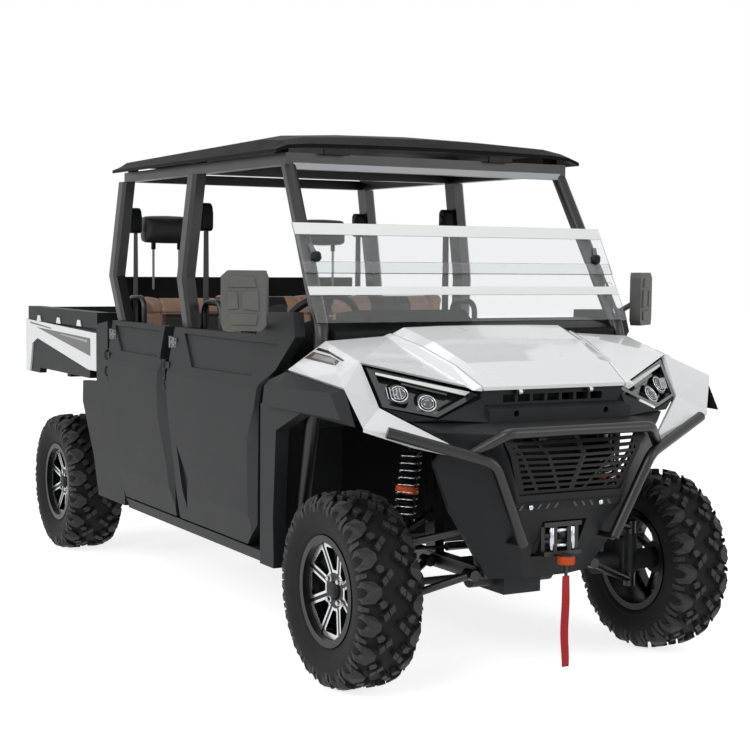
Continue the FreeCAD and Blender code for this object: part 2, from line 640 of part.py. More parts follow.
def cab_floor():
    """The floor pan, the toe board, the two seat boxes and the wall behind the rear seat."""
    top = RAIL_TOP_Z + SEAT_CLEARANCE + FLOOR_THICKNESS
    low = RAIL_TOP_Z + SEAT_CLEARANCE
    toe_x = FRONT_AXLE_X - TOE_BACK - SEAT_CLEARANCE
    rear_x = FRONT_AXLE_X - REAR_WALL_BACK
    inner_y = FLOOR_HALF_WIDTH
    floor = block((rear_x, -inner_y + PILLAR_WIDTH / 2, low), (toe_x, inner_y - PILLAR_WIDTH / 2, top))
    toe = block((toe_x - REAR_WALL_THICKNESS, -DASH_HALF_WIDTH, low),
                (toe_x, DASH_HALF_WIDTH, DASH_BOTTOM_Z - SEAT_CLEARANCE))
    wall = block((rear_x, -DASH_HALF_WIDTH, low), (rear_x + REAR_WALL_THICKNESS, DASH_HALF_WIDTH,
                                                   REAR_WALL_TOP_Z))
    parts = [floor, toe, wall]
    for front_back in (FRONT_SEAT_FRONT_BACK, REAR_SEAT_FRONT_BACK):
        x = FRONT_AXLE_X - front_back - SEAT_SIDE_GAP
        parts.append(block((x - SEAT_BOX_LENGTH, -SEAT_BOX_WIDTH / 2, low),
                           (x, SEAT_BOX_WIDTH / 2, top + SEAT_BOX_HEIGHT)))
    return fuse(parts)


SEAT_TOP_Z = RAIL_TOP_Z + 2 * SEAT_CLEARANCE + FLOOR_THICKNESS + SEAT_BOX_HEIGHT + CUSHION_THICKNESS
SEAT_LENGTH = 480.0
BACK_LEAN = 80.0


def seat(y_low, y_high, front_back, back_top_z):
    """One seat: a cushion on its box and a leaning backrest, as one plain closed solid."""
    front = FRONT_AXLE_X - front_back
    rear = front - SEAT_LENGTH
    low = SEAT_TOP_Z - CUSHION_THICKNESS
    outline = [
        Vector(front, y_low, low),
        Vector(front, y_low, SEAT_TOP_Z),
        Vector(rear + BACK_THICKNESS, y_low, SEAT_TOP_Z - CUSHION_THICKNESS / 4),
        Vector(rear + BACK_THICKNESS - BACK_LEAN, y_low, back_top_z),
        Vector(rear - BACK_LEAN, y_low, back_top_z),
        Vector(rear, y_low, low),
    ]
    corner = CUSHION_THICKNESS / 4
    return plate(outline, [corner, corner, 0, corner, corner, 0], ALONG_Y * (y_high - y_low))


def seats():
    """The front bench in two parts, the rear bench and the rear headrests."""
    half = SEAT_BOX_WIDTH / 2 + SEAT_SIDE_GAP
    split = -half + DRIVER_SEAT_WIDTH
    node("front_seat", Part.makeCompound([
        seat(-half, split - SEAT_SIDE_GAP / 2, FRONT_SEAT_FRONT_BACK, FRONT_BACK_TOP_Z),
        seat(split + SEAT_SIDE_GAP / 2, half, FRONT_SEAT_FRONT_BACK, FRONT_BACK_TOP_Z)]))
    node("rear_seat", seat(-half, half, REAR_SEAT_FRONT_BACK, REAR_BACK_TOP_Z))


STEERING_AXIS = Vector(-math.sin(math.radians(STEERING_TILT)), 0, math.cos(math.radians(STEERING_TILT)))
STEERING_CENTRE = Vector(FRONT_AXLE_X - STEERING_X_BACK, WHEEL_Y, STEERING_Z)
DASH_FRONT_X = FRONT_AXLE_X - DASH_FRONT_BACK
DASH_REAR_X = DASH_FRONT_X - DASH_DEPTH


def dashboard():
    """The moulded dashboard with the raised hood over the instruments, and the cowl out to the door tops."""
    outline = [
        Vector(DASH_FRONT_X, -DASH_HALF_WIDTH, DASH_FRONT_LOW_Z),
        Vector(DASH_FRONT_X, -DASH_HALF_WIDTH, DASH_TOP_Z - HUMP_RISE),
        Vector(mix(DASH_FRONT_X, DASH_REAR_X, 1 / 2), -DASH_HALF_WIDTH, DASH_TOP_Z),
        Vector(DASH_REAR_X, -DASH_HALF_WIDTH, DASH_TOP_Z - HUMP_RISE),
        Vector(DASH_REAR_X + HUMP_RISE, -DASH_HALF_WIDTH, DASH_BOTTOM_Z),
        Vector(FRONT_AXLE_X - TOE_BACK, -DASH_HALF_WIDTH, DASH_BOTTOM_Z),
    ]
    corner = HUMP_RISE / 2
    body = plate(outline, [corner, corner, corner, corner, 0, 0], ALONG_Y * (2 * DASH_HALF_WIDTH))
    hump = [
        Vector(DASH_FRONT_X - DASH_DEPTH / 4, HUMP_Y_LOW, DASH_TOP_Z - HUMP_RISE),
        Vector(mix(DASH_FRONT_X, DASH_REAR_X, 1 / 2), HUMP_Y_LOW, DASH_TOP_Z + HUMP_RISE),
        Vector(DASH_REAR_X, HUMP_Y_LOW, DASH_TOP_Z + HUMP_RISE / 2),
        Vector(DASH_REAR_X, HUMP_Y_LOW, DASH_TOP_Z - 2 * HUMP_RISE),
    ]
    hood = plate(hump, HUMP_RISE / 4, ALONG_Y * (HUMP_Y_HIGH - HUMP_Y_LOW))
    start = STEERING_CENTRE - STEERING_AXIS * COLUMN_LENGTH
    housing = rod(start, start - STEERING_AXIS * (COLUMN_LENGTH * COLUMN_HOUSING_SHARE), COLUMN_DIAMETER + HUMP_RISE)
    return fuse([body, hood, housing])


def screen_point(y, z, out):
    """A point on the windscreen's plane, which follows the A-pillars, at a distance in front of them."""
    lean = math.atan(A_PILLAR_LEAN)
    x = WINDSCREEN_FOOT_X - (z - A_PILLAR_FOOT_Z) * A_PILLAR_LEAN
    ahead = A_PILLAR_DIAMETER / 2 + SCREEN_CLEARANCE + out
    return Vector(x + ahead * math.cos(lean), y, z + ahead * math.sin(lean))


def windscreen():
    """The half windscreen folded down on itself: two clear sheets, one in front of the other."""
    sheets = []
    for z_low, z_high, out in ((A_PILLAR_FOOT_Z + HUMP_RISE, SCREEN_FOLD_Z, 0),
                               (SCREEN_FOLD_Z - SCREEN_BAND_HEIGHT, SCREEN_TOP_Z, SCREEN_THICKNESS + SEAT_CLEARANCE)):
        rows = []
        for depth in (0, SCREEN_THICKNESS):
            rows.append([screen_point(-SCREEN_HALF_WIDTH, z_low, out + depth),
                         screen_point(SCREEN_HALF_WIDTH, z_low, out + depth),
                         screen_point(SCREEN_HALF_WIDTH, z_high, out + depth),
                         screen_point(-SCREEN_HALF_WIDTH, z_high, out + depth)])
        sheets.append(loft(rows))
    pads = []
    for side in SIDES:
        for z in (A_PILLAR_FOOT_Z + 2 * HUMP_RISE, SCREEN_FOLD_Z - 2 * SCREEN_BAND_HEIGHT):
            foot = screen_point(side * A_PILLAR_FOOT_Y, z, -SCREEN_CLEARANCE + SEAT_CLEARANCE)
            pads.append(rod(foot, screen_point(side * A_PILLAR_FOOT_Y, z, SCREEN_THICKNESS / 2), HUMP_RISE))
    return Part.makeCompound([fuse([sheets[0]] + pads), sheets[1]])


def steering_wheel():
    """The rim, the hub, three spokes and the top of the column."""
    across = ALONG_Y
    radial = STEERING_AXIS.cross(across)
    radius = (STEERING_DIAMETER - STEERING_RIM) / 2
    section = []
    for i in range(RIM_SIDE_COUNT):
        turn = 2 * math.pi * i / RIM_SIDE_COUNT
        section.append(STEERING_CENTRE + across * (radius + STEERING_RIM / 2 * math.cos(turn)) +
                       STEERING_AXIS * (STEERING_RIM / 2 * math.sin(turn)))
    ring = flat(section).revolve(STEERING_CENTRE, STEERING_AXIS, FULL_TURN)
    hub = rod(STEERING_CENTRE - STEERING_AXIS * STEERING_RIM, STEERING_CENTRE + STEERING_AXIS * (STEERING_RIM / 4),
              STEERING_DIAMETER / 4)
    parts = [ring, hub]
    for turn in (0, math.pi, 3 * math.pi / 2):
        out = across * math.cos(turn) + radial * math.sin(turn)
        parts.append(bar(STEERING_CENTRE, STEERING_CENTRE + out * radius, STEERING_RIM, STEERING_RIM / 2))
    reach = COLUMN_LENGTH - SEAT_CLEARANCE
    parts.append(rod(STEERING_CENTRE, STEERING_CENTRE - STEERING_AXIS * reach, COLUMN_DIAMETER))
    return fuse(parts)


# Doors and sides

SIDE_PROFILE_Z = (SILL_BOTTOM_Z, DOOR_BOTTOM_Z, 520.0, 1000.0, DOOR_TOP_Z, DOOR_EAR_Z)
SIDE_INSETS = (36.0, 20.0, 6.0, 0.0, 34.0, 40.0)
DOOR_THICKNESS = 42.0
FRONT_DOOR_REAR_BACK = 1440.0
FRONT_DOOR_EAR_BACK = 269.0
FRONT_DOOR_SHARES = (
    (0.026, 0.888), (0.72, 0.892), (0.731, 0.99), (0.978, 1), (1, 0.902), (0.898, 0.76),
    (0.796, 0.684), (0.774, 0.597), (0.771, 0.399), (0.769, 0.206), (0.769, 0.098), (0.687, 0),
    (0.107, 0), (0.094, 0.107), (0.074, 0.233), (0.03, 0.41), (0, 0.59), (0.017, 0.736),
)
FRONT_DOOR_FACE_SHARES = (
    (0.036, 0.879), (0.713, 0.88), (0.738, 0.98), (0.97, 0.99), (0.991, 0.9), (0.892, 0.77),
    (0.787, 0.696), (0.762, 0.594), (0.662, 0.498), (0.64, 0.264), (0.631, 0.136), (0.687, 0.017),
    (0.118, 0.017), (0.106, 0.112), (0.086, 0.237), (0.042, 0.415), (0.012, 0.592), (0.028, 0.736),
)
FRONT_PANEL_SHARES = (
    (0.113, 0.869), (0.234, 0.713), (0.73, 0.72), (0.833, 0.792), (0.905, 0.869),
)
FRONT_PANEL_FLOOR_SHARES = (
    (0.133, 0.86), (0.241, 0.727), (0.726, 0.734), (0.822, 0.801), (0.88, 0.86),
)
DOOR_SLIT_SHARES = (
    (0.099, 0.351), (0.212, 0.196), (0.188, 0.042), (0.147, 0.161),
)
DOOR_SLIT_FLOOR_SHARES = (
    (0.116, 0.313), (0.198, 0.192), (0.18, 0.082), (0.155, 0.165),
)
REAR_DOOR_REAR_OUT_AHEAD = 798.0
REAR_DOOR_REAR_OUT_BACK = WHEELBASE - REAR_DOOR_REAR_OUT_AHEAD
REAR_DOOR_FRONT_BACK = 1355.0
REAR_DOOR_SHARES = (
    (0, 1), (0.794, 1), (0.794, 0.829), (0.843, 0.816), (0.867, 0.646), (0.921, 0.475), (0.988, 0.262),
    (1, 0), (0.254, 0), (0.029, 0.535),
)
REAR_DOOR_FACE_SHARES = (
    (0.012, 0.99), (0.782, 0.99), (0.782, 0.822), (0.788, 0.804), (0.718, 0.704), (0.688, 0.52),
    (0.798, 0.266), (0.906, 0.015), (0.268, 0.015), (0.046, 0.541),
)
REAR_PANEL_SHARES = (
    (0.033, 0.978), (0.21, 0.829), (0.764, 0.829), (0.764, 0.978),
)
REAR_PANEL_FLOOR_SHARES = (
    (0.068, 0.968), (0.22, 0.844), (0.752, 0.844), (0.752, 0.968),
)
PANEL_RECESS = 9.0
SLIT_RECESS = 14.0
BEVEL_DEPTH = 16.0
HINGE_BACK = 13.0
HINGE_INSET = 6.0
HINGE_Y = DOOR_HALF_WIDTH - HINGE_INSET
HINGE_HEIGHTS = (960.0, 1036.0)
HINGE_RADIUS = 10.0
HINGE_PIN = 10.0
HINGE_HALF_HEIGHT = 14.0
HINGE_LEAF = 8.0
HINGE_REACH = 55.0
SILL_INNER_INSET = 52.0
SILL_INNER_Y = DOOR_HALF_WIDTH - SILL_INNER_INSET
LEG_OUTLINE_SHARES = (
    (0, 0), (0, 1), (1, 0.988), (0.395, 0.853), (0.329, 0.297), (0.35, 0.1), (0.35, 0.025), (0.35, 0),
)
LEG_REAR_BACK = 482.0
LEG_FRONT_BACK = 148.0
LEG_BOTTOM_Z = 360.0
LEG_TOP_Z = 955.0


def side_body(x_rear, x_front, thickness):
    """The doors' section from sill to door top, run along the vehicle on the left."""
    outer = [Vector(x_rear, DOOR_HALF_WIDTH - inset, z) for z, inset in zip(SIDE_PROFILE_Z, SIDE_INSETS)]
    inner = [Vector(p.x, p.y - thickness, p.z) for p in reversed(outer)]
    wire = Part.makePolygon(outer + inner + [outer[0]])
    return Part.Face(wire).extrude(ALONG_X * (x_front - x_rear))


def side_prism(shares, face_shares, x_rear, x_front, z_low, z_high):
    """A prism of a side outline through the left half, whose outer end tapers to the face outline."""
    bevel_y = DOOR_HALF_WIDTH - BEVEL_DEPTH
    ends = ((shares, SILL_INNER_Y / 2), (shares, bevel_y), (face_shares, DOOR_HALF_WIDTH + BEVEL_DEPTH / 2))
    return loft([side_outline(table, x_rear, x_front, z_low, z_high, y) for table, y in ends])


def recessed(door, shares, floor_shares, box, depth):
    """A door with a recess that follows its face, its sides sloping in from one outline to a smaller one."""
    outer_y = DOOR_HALF_WIDTH + CUT_OVERRUN
    cutter = loft([side_outline(floor_shares, *box, DOOR_HALF_WIDTH - 2 * DOOR_THICKNESS),
                   side_outline(shares, *box, outer_y)])
    return door.cut(cutter).fuse(door.common(cutter).common(door.translated(ALONG_Y * -depth))).removeSplitter()


def hinged(door, hinge_x):
    """A left door with its two hinge leaves, bored for the pins that the pillar carries."""
    parts = [door]
    bores = []
    for z in HINGE_HEIGHTS:
        low = Vector(hinge_x, HINGE_Y, z - HINGE_HALF_HEIGHT)
        high = Vector(hinge_x, HINGE_Y, z + HINGE_HALF_HEIGHT)
        parts.append(rod(low, high, 2 * HINGE_RADIUS))
        parts.append(block((hinge_x, HINGE_Y - HINGE_LEAF / 2, low.z),
                           (hinge_x + HINGE_REACH, HINGE_Y + HINGE_LEAF / 2, high.z)))
        bores.append(rod(low, high, HINGE_PIN + 2 * SEAT_CLEARANCE))
    return fuse(parts).cut(Part.makeCompound(bores))


def hinge_brackets(hinge_x):
    """The pins and the arms that carry them, from a left pillar out to the hinge line."""
    parts = []
    for z in HINGE_HEIGHTS:
        reach = HINGE_HALF_HEIGHT + 2 * SEAT_CLEARANCE
        parts.append(rod(Vector(hinge_x, HINGE_Y, z - reach - HINGE_LEAF), Vector(hinge_x, HINGE_Y, z + reach + HINGE_LEAF),
                         HINGE_PIN))
        for low_z in (z - reach - HINGE_LEAF, z + reach):
            low = Vector(hinge_x, HINGE_Y, low_z)
            parts.append(rod(low, low + UP * HINGE_LEAF, 2 * HINGE_RADIUS))
            parts.append(block((hinge_x - HINGE_RADIUS, PILLAR_DOOR_Y, low_z),
                               (hinge_x + HINGE_RADIUS / 2, HINGE_Y, low_z + HINGE_LEAF)))
    return parts


def doors():
    """Four half doors, each as thick as the whole door, and the mirrors on the front ones."""
    rear_x = FRONT_AXLE_X - FRONT_DOOR_REAR_BACK
    front_x = FRONT_AXLE_X - FRONT_DOOR_EAR_BACK
    box = (rear_x, front_x, DOOR_BOTTOM_Z, DOOR_EAR_Z)
    front = side_body(rear_x, front_x, DOOR_THICKNESS).common(side_prism(FRONT_DOOR_SHARES, FRONT_DOOR_FACE_SHARES, *box))
    front = recessed(front, FRONT_PANEL_SHARES, FRONT_PANEL_FLOOR_SHARES, box, PANEL_RECESS)
    front = recessed(front, DOOR_SLIT_SHARES, DOOR_SLIT_FLOOR_SHARES, box, SLIT_RECESS)
    front = hinged(front, rear_x - HINGE_BACK)
    rear_x = FRONT_AXLE_X - REAR_DOOR_REAR_OUT_BACK
    front_x = FRONT_AXLE_X - REAR_DOOR_FRONT_BACK
    box = (rear_x, front_x, DOOR_BOTTOM_Z, DOOR_TOP_Z)
    rear = side_body(rear_x, front_x, DOOR_THICKNESS).common(side_prism(REAR_DOOR_SHARES, REAR_DOOR_FACE_SHARES, *box))
    rear = recessed(rear, REAR_PANEL_SHARES, REAR_PANEL_FLOOR_SHARES, box, PANEL_RECESS)
    rear = hinged(rear, rear_x - HINGE_BACK)
    for name, side in (("left", LEFT), ("right", RIGHT)):
        node(f"door_front_{name}", on_side(front, side))
        node(f"door_rear_{name}", on_side(rear, side))


def sill():
    """The moulded sill under the doors on the left."""
    rear_x = FRONT_AXLE_X - QUARTER_LOW_FRONT_BACK + SEAT_CLEARANCE
    front_x = FRONT_AXLE_X - LEG_REAR_BACK - SEAT_CLEARANCE
    body = side_body(rear_x, front_x, DOOR_HALF_WIDTH - SILL_INNER_Y)
    inner_y = SIDE_RAIL_Y + SIDE_RAIL_SIZE / 2 + SEAT_CLEARANCE
    body = body.common(block((rear_x, inner_y, SILL_BOTTOM_Z), (front_x, DOOR_HALF_WIDTH, DOOR_BOTTOM_Z - PANEL_GAP)))
    flange = block((rear_x, inner_y, SILL_BOTTOM_Z), (front_x, SILL_INNER_Y, RAIL_TOP_Z - SIDE_RAIL_SIZE / 2))
    return body.fuse(flange).removeSplitter()


# Front body

FLARE_THICKNESS = 22.0
FLARE_REAR_BACK = 431.0
FLARE_FRONT_AHEAD = 240.0
FLARE_LOW_Z = 935.0
FLARE_TOP_Z = 1083.0
FLARE_TOP_INSET = 52.0
FLARE_TOP_Y = DOOR_HALF_WIDTH - FLARE_TOP_INSET
FLARE_EDGE_INSET = 7.0
FLARE_EDGE_Y = DOOR_HALF_WIDTH - FLARE_EDGE_INSET
FLARE_ROOT_SHARES = (
    (0, 0.121), (0, 0.733), (0.218, 1), (0.821, 0.807), (0.911, 0.121),
)
FLARE_EDGE_SHARES = (
    (0, 0.121), (0, 0.733), (0.218, 1), (0.89, 0.785), (1, 0),
)
FLARE_FACE_SHARES = (
    (0.018, 0.128), (0.042, 0.625), (0.24, 0.646), (0.817, 0.706), (0.925, 0.141),
)
JAMB_LENGTH = 65.0
ARCH_INNER_Y = 430.0
ARCH_FRONT_AHEAD = 20.0
ARCH_SLOPE_RISE = 100.0
PILLAR_SLOT = 70.0
HOOD_THICKNESS = 12.0
HOOD_REAR_BACK = 195.0
HOOD_FRONT_AHEAD = 278.0
HOOD_REAR_HALF_WIDTH = 390.0
HOOD_FRONT_HALF_WIDTH = 300.0
HOOD_REAR_Z = 1245.0
HOOD_FRONT_Z = 1056.0
HOOD_CREASE_SHARES = (0.0, 0.5, 0.88, 1.0)
HOOD_DROP_SHARES = (0.0, 0.05, 0.2, 1.0)
HOOD_CROWN = 26.0
HOOD_STATION_SHARES = ((0.0, 0.0), (0.35, 0.24), (0.72, 0.60), (1.0, 1.0))
FENDER_THICKNESS = 8.0
FENDER_REAR_BACK = 277.0
FENDER_FRONT_AHEAD = 315.0
FENDER_INNER_Y = 302.0
FENDER_OUTER_OUTSET = 3.0
FENDER_OUTER_Y = DOOR_HALF_WIDTH + FENDER_OUTER_OUTSET
FENDER_LOW_Z = 840.0
FENDER_HIGH_Z = 1213.0
FENDER_CORNER_SHARES = (
    (0.144, 0.193, 0.995), (0.924, 0.010, 0.563), (0.566, 0.741, 0.794), (0.155, 0.758, 0.954),
    (0.133, 0.824, 0.871), (0, 0.969, 0.676), (0.762, 1, 0.59), (0.735, 0.7, 0.394),
    (0.84, 0.897, 0.236), (0.992, 0.255, 0.048), (1, 0.255, 0),
)
FENDER_FACES = ((0, 1, 2, 3), (3, 2, 6, 5, 4), (6, 2, 7, 8), (8, 7, 9, 10))


def hood_rows():
    """Rows of points across the hood, from its rear edge to its front edge."""
    rear_x = FRONT_AXLE_X - HOOD_REAR_BACK
    front_x = FRONT_AXLE_X + HOOD_FRONT_AHEAD
    rows = []
    for along, fall in HOOD_STATION_SHARES:
        x = mix(rear_x, front_x, along)
        half_width = mix(HOOD_REAR_HALF_WIDTH, HOOD_FRONT_HALF_WIDTH, along)
        z = mix(HOOD_REAR_Z, HOOD_FRONT_Z, fall)
        half = [Vector(x, half_width * sy, z - HOOD_CROWN * (1 - fall) * sz)
                for sy, sz in zip(HOOD_CREASE_SHARES, HOOD_DROP_SHARES)]
        rows.append([Vector(p.x, -p.y, p.z) for p in reversed(half[1:])] + half)
    return rows


def front_fender():
    """The white fender on the left: a faceted sheet from the hood's edge to the flare and round the headlamp."""
    points = []
    for along, out, up in FENDER_CORNER_SHARES:
        points.append(Vector(FRONT_AXLE_X + mix(-FENDER_REAR_BACK, FENDER_FRONT_AHEAD, along),
                             mix(FENDER_INNER_Y, FENDER_OUTER_Y, out), mix(FENDER_LOW_Z, FENDER_HIGH_Z, up)))
    return panel(points, FENDER_FACES, Vector(-FENDER_THICKNESS, -FENDER_THICKNESS, -FENDER_THICKNESS))


def flare():
    """The black flare over the left front wheel, the arch behind the wheel and the leg down to the sill."""
    box = (FRONT_AXLE_X - FLARE_REAR_BACK, FRONT_AXLE_X + FLARE_FRONT_AHEAD, FLARE_LOW_Z, FLARE_TOP_Z)
    root = plate(side_outline(FLARE_ROOT_SHARES, *box, FLARE_TOP_Y), 0, ALONG_Y * (FLARE_EDGE_Y - FLARE_TOP_Y))
    outer = loft([side_outline(FLARE_EDGE_SHARES, *box, FLARE_EDGE_Y),
                  side_outline(FLARE_FACE_SHARES, *box, FLARE_HALF_WIDTH)])
    leg_points = side_outline(LEG_OUTLINE_SHARES, FRONT_AXLE_X - LEG_REAR_BACK, FRONT_AXLE_X - LEG_FRONT_BACK,
                              LEG_BOTTOM_Z, LEG_TOP_Z, SILL_INNER_Y)
    leg = plate(leg_points, 0, ALONG_Y * (DOOR_HALF_WIDTH - SILL_INNER_Y))
    arch_rear = FRONT_AXLE_X - TOE_BACK
    arch_bend = DASH_FRONT_X + 2 * PANEL_GAP
    arch_front = FRONT_AXLE_X + ARCH_FRONT_AHEAD
    low = DASH_BOTTOM_Z - SEAT_CLEARANCE - PANEL_GAP
    foot = RAIL_TOP_Z + RAIL_HEIGHT
    thick = FLARE_THICKNESS
    liner = [Vector(x, ARCH_INNER_Y, z) for x, z in (
        (arch_rear, foot), (arch_rear, low), (arch_bend, low + ARCH_SLOPE_RISE), (arch_front, low + ARCH_SLOPE_RISE),
        (arch_front, low + ARCH_SLOPE_RISE - thick), (arch_bend, low + ARCH_SLOPE_RISE - thick),
        (arch_rear + thick, low - thick), (arch_rear + thick, foot))]
    arch = plate(liner, 0, ALONG_Y * (FLARE_TOP_Y - ARCH_INNER_Y))
    slot = block((arch_rear + 2 * PILLAR_SLOT, A_PILLAR_FOOT_Y - PILLAR_SLOT / 2, low - thick),
                 (arch_bend - thick, A_PILLAR_FOOT_Y + PILLAR_SLOT / 2, low + 2 * ARCH_SLOPE_RISE))
    jamb = block((arch_rear, FLARE_TOP_Y - thick, foot), (arch_rear + JAMB_LENGTH, FLARE_TOP_Y + thick / 4, low))
    return fuse([root, outer, leg, jamb, arch.cut(slot)])


LAMP_OUTER_Y = 640.0
LAMP_INNER_Y = 300.0
LAMP_DEPTH = 90.0
LAMP_OUTER_AHEAD = 62.0
LAMP_INNER_AHEAD = 252.0
LAMP_LOW_OUTER_AHEAD = 163.0
LAMP_LOW_INNER_AHEAD = 255.0
LAMP_TOP_OUTER_Z = 1118.0
LAMP_TOP_INNER_Z = 1030.0
LAMP_LOW_OUTER_Z = 990.0
LAMP_LOW_INNER_Z = 958.0
LAMP_LOW_OUTER_Y = 628.0
LAMP_LOW_INNER_Y = 468.0
LAMP_LIP_SHARE = 0.16
LAMP_POCKET = 34.0
LENS_INSET = 10.0
LENS_DIAMETER = 62.0
LENS_PLACES = ((560.0, 1030.0), (480.0, 1000.0))
LIGHT_BAR_HEIGHT = 14.0
LIGHT_BAR_SHARES = (0.22, 0.9)
LIGHT_BAR_DROP_SHARE = 0.3


def headlamp():
    """The left headlamp: a swept four-cornered housing with a pocket, two round lenses and a bar of light."""
    face = [
        Vector(FRONT_AXLE_X + LAMP_OUTER_AHEAD, LAMP_OUTER_Y, LAMP_TOP_OUTER_Z),
        Vector(FRONT_AXLE_X + LAMP_INNER_AHEAD, LAMP_INNER_Y, LAMP_TOP_INNER_Z),
        Vector(FRONT_AXLE_X + LAMP_LOW_INNER_AHEAD, LAMP_LOW_INNER_Y, LAMP_LOW_INNER_Z),
        Vector(FRONT_AXLE_X + LAMP_LOW_OUTER_AHEAD, LAMP_LOW_OUTER_Y, LAMP_LOW_OUTER_Z),
    ]
    middle = (face[0] + face[1] + face[2] + face[3]) * (1 / len(face))
    rim_ring = [p + (middle - p) * LAMP_LIP_SHARE for p in face]
    pocket = facets([p + ALONG_X * LAMP_POCKET for p in rim_ring], ALONG_X * (-2 * LAMP_POCKET))
    core = facets([p - ALONG_X * LENS_INSET for p in rim_ring], ALONG_X * (LENS_INSET - 2 * LAMP_POCKET))
    lights = []
    for y, z in LENS_PLACES:
        start = Vector(FRONT_AXLE_X, y, z)
        lights.append(rod(start, start + ALONG_X * FRONT_OVERHANG, LENS_DIAMETER))
    ends = []
    for share in LIGHT_BAR_SHARES:
        top = rim_ring[0] + (rim_ring[1] - rim_ring[0]) * share
        ends.append(top + (middle - top) * LIGHT_BAR_DROP_SHARE)
    lights.append(bar(ends[0], ends[1], 2 * LAMP_DEPTH, LIGHT_BAR_HEIGHT))
    return fuse([facets(face, ALONG_X * -LAMP_DEPTH).cut(pocket)] + [light.common(core) for light in lights])


NOSE_HALF_WIDTH = LAMP_INNER_Y - SEAT_CLEARANCE
NOSE_TOP_Z = HOOD_FRONT_Z - HOOD_THICKNESS - SEAT_CLEARANCE
COVER_TOP_Z = 936.0
NOSE_BOTTOM_Z = COVER_TOP_Z + SEAT_CLEARANCE
NOSE_DEPTH = 70.0
HOOD_PIVOT_Z = 1035.0
HOOD_PIVOT_BACK = 2.0
HOOD_PIN = 8.0
HOOD_EAR_Y = 150.0
HOOD_EAR_WIDTH = 14.0
HOOD_EAR_REACH = 8.0
NOSE_FRONT_AHEAD = 316.0
NOSE_TOP_AHEAD = 262.0
VENT_COUNT = 7
VENT_Z_LOW = 1000.0
VENT_Z_HIGH = 1026.0
VENT_PITCH = 62.0
VENT_WIDTH = 50.0
STRIP_HOLE_SPACING = 380.0
STRIP_HOLE_DIAMETER = 22.0
STRIP_HOLE_Z = 965.0
WING_DEPTH = 20.0
WING_AHEAD = 314.0
WING_OUTER_Y = 612.0
WING_INNER_Y = 296.0
WING_LOW_Z = 938.0
WING_HIGH_Z = 1018.0
WING_CORNER_SHARES = ((0.634, 0, 1), (0.606, 0.538, 0.15), (0, 1, 0.55), (0.239, 0.81, 0.05), (1, 0, 0))
WING_FACES = ((0, 1, 4), (1, 3, 4), (1, 2, 3))
WING_REAR_AHEAD = 172.0


def nose_panel():
    """The black panel under the hood's front edge, with a row of vents and a strip with two round holes."""
    top_x = FRONT_AXLE_X + NOSE_TOP_AHEAD
    front_x = FRONT_AXLE_X + NOSE_FRONT_AHEAD
    outline = [
        Vector(top_x, -NOSE_HALF_WIDTH, NOSE_TOP_Z),
        Vector(top_x, -NOSE_HALF_WIDTH, VENT_Z_LOW - PANEL_GAP),
        Vector(front_x, -NOSE_HALF_WIDTH, VENT_Z_LOW - PANEL_GAP - (front_x - top_x) / 4),
        Vector(front_x, -NOSE_HALF_WIDTH, NOSE_BOTTOM_Z),
        Vector(front_x - NOSE_DEPTH, -NOSE_HALF_WIDTH, NOSE_BOTTOM_Z),
        Vector(top_x - NOSE_DEPTH / 2, -NOSE_HALF_WIDTH, NOSE_TOP_Z),
    ]
    body = plate(outline, 0, ALONG_Y * (2 * NOSE_HALF_WIDTH))
    cuts = []
    for i in range(VENT_COUNT):
        y = (i - (VENT_COUNT - 1) / 2) * VENT_PITCH
        cuts.append(block((top_x - NOSE_DEPTH, y - VENT_WIDTH / 2, VENT_Z_LOW),
                          (top_x + CUT_OVERRUN, y + VENT_WIDTH / 2, VENT_Z_HIGH)))
    for side in SIDES:
        start = Vector(front_x - NOSE_DEPTH - CUT_OVERRUN, side * STRIP_HOLE_SPACING / 2, STRIP_HOLE_Z)
        cuts.append(rod(start, start + ALONG_X * (NOSE_DEPTH + 2 * CUT_OVERRUN), STRIP_HOLE_DIAMETER))
    parts = [body.cut(Part.makeCompound(cuts))]
    wing_points = []
    for along, out, up in WING_CORNER_SHARES:
        wing_points.append(Vector(FRONT_AXLE_X + mix(WING_REAR_AHEAD, WING_AHEAD, along),
                                  mix(WING_INNER_Y, WING_OUTER_Y, out), mix(WING_LOW_Z, WING_HIGH_Z, up)))
    wing = panel(wing_points, WING_FACES, ALONG_X * -WING_DEPTH)
    parts += [wing, mirrored(wing)]
    for pin in hood_pins():
        reach = ALONG_Y * (HOOD_EAR_WIDTH / 2 + 2 * SEAT_CLEARANCE)
        cheek = ALONG_Y * HOOD_EAR_REACH
        parts.append(rod(pin - reach, pin + reach, HOOD_PIN))
        for start, end in ((pin - reach - cheek, pin - reach), (pin + reach, pin + reach + cheek)):
            parts.append(rod(start, end, 2 * HOOD_EAR_REACH))
            parts.append(block((top_x - HOOD_EAR_REACH, start.y, pin.z - HOOD_EAR_REACH), (pin.x, end.y, pin.z)))
    return fuse(parts)


def hood_pins():
    """The centres of the two hinge pins under the hood's front edge."""
    x = FRONT_AXLE_X + HOOD_FRONT_AHEAD - HOOD_PIVOT_BACK
    return [Vector(x, side * HOOD_EAR_Y, HOOD_PIVOT_Z) for side in SIDES]


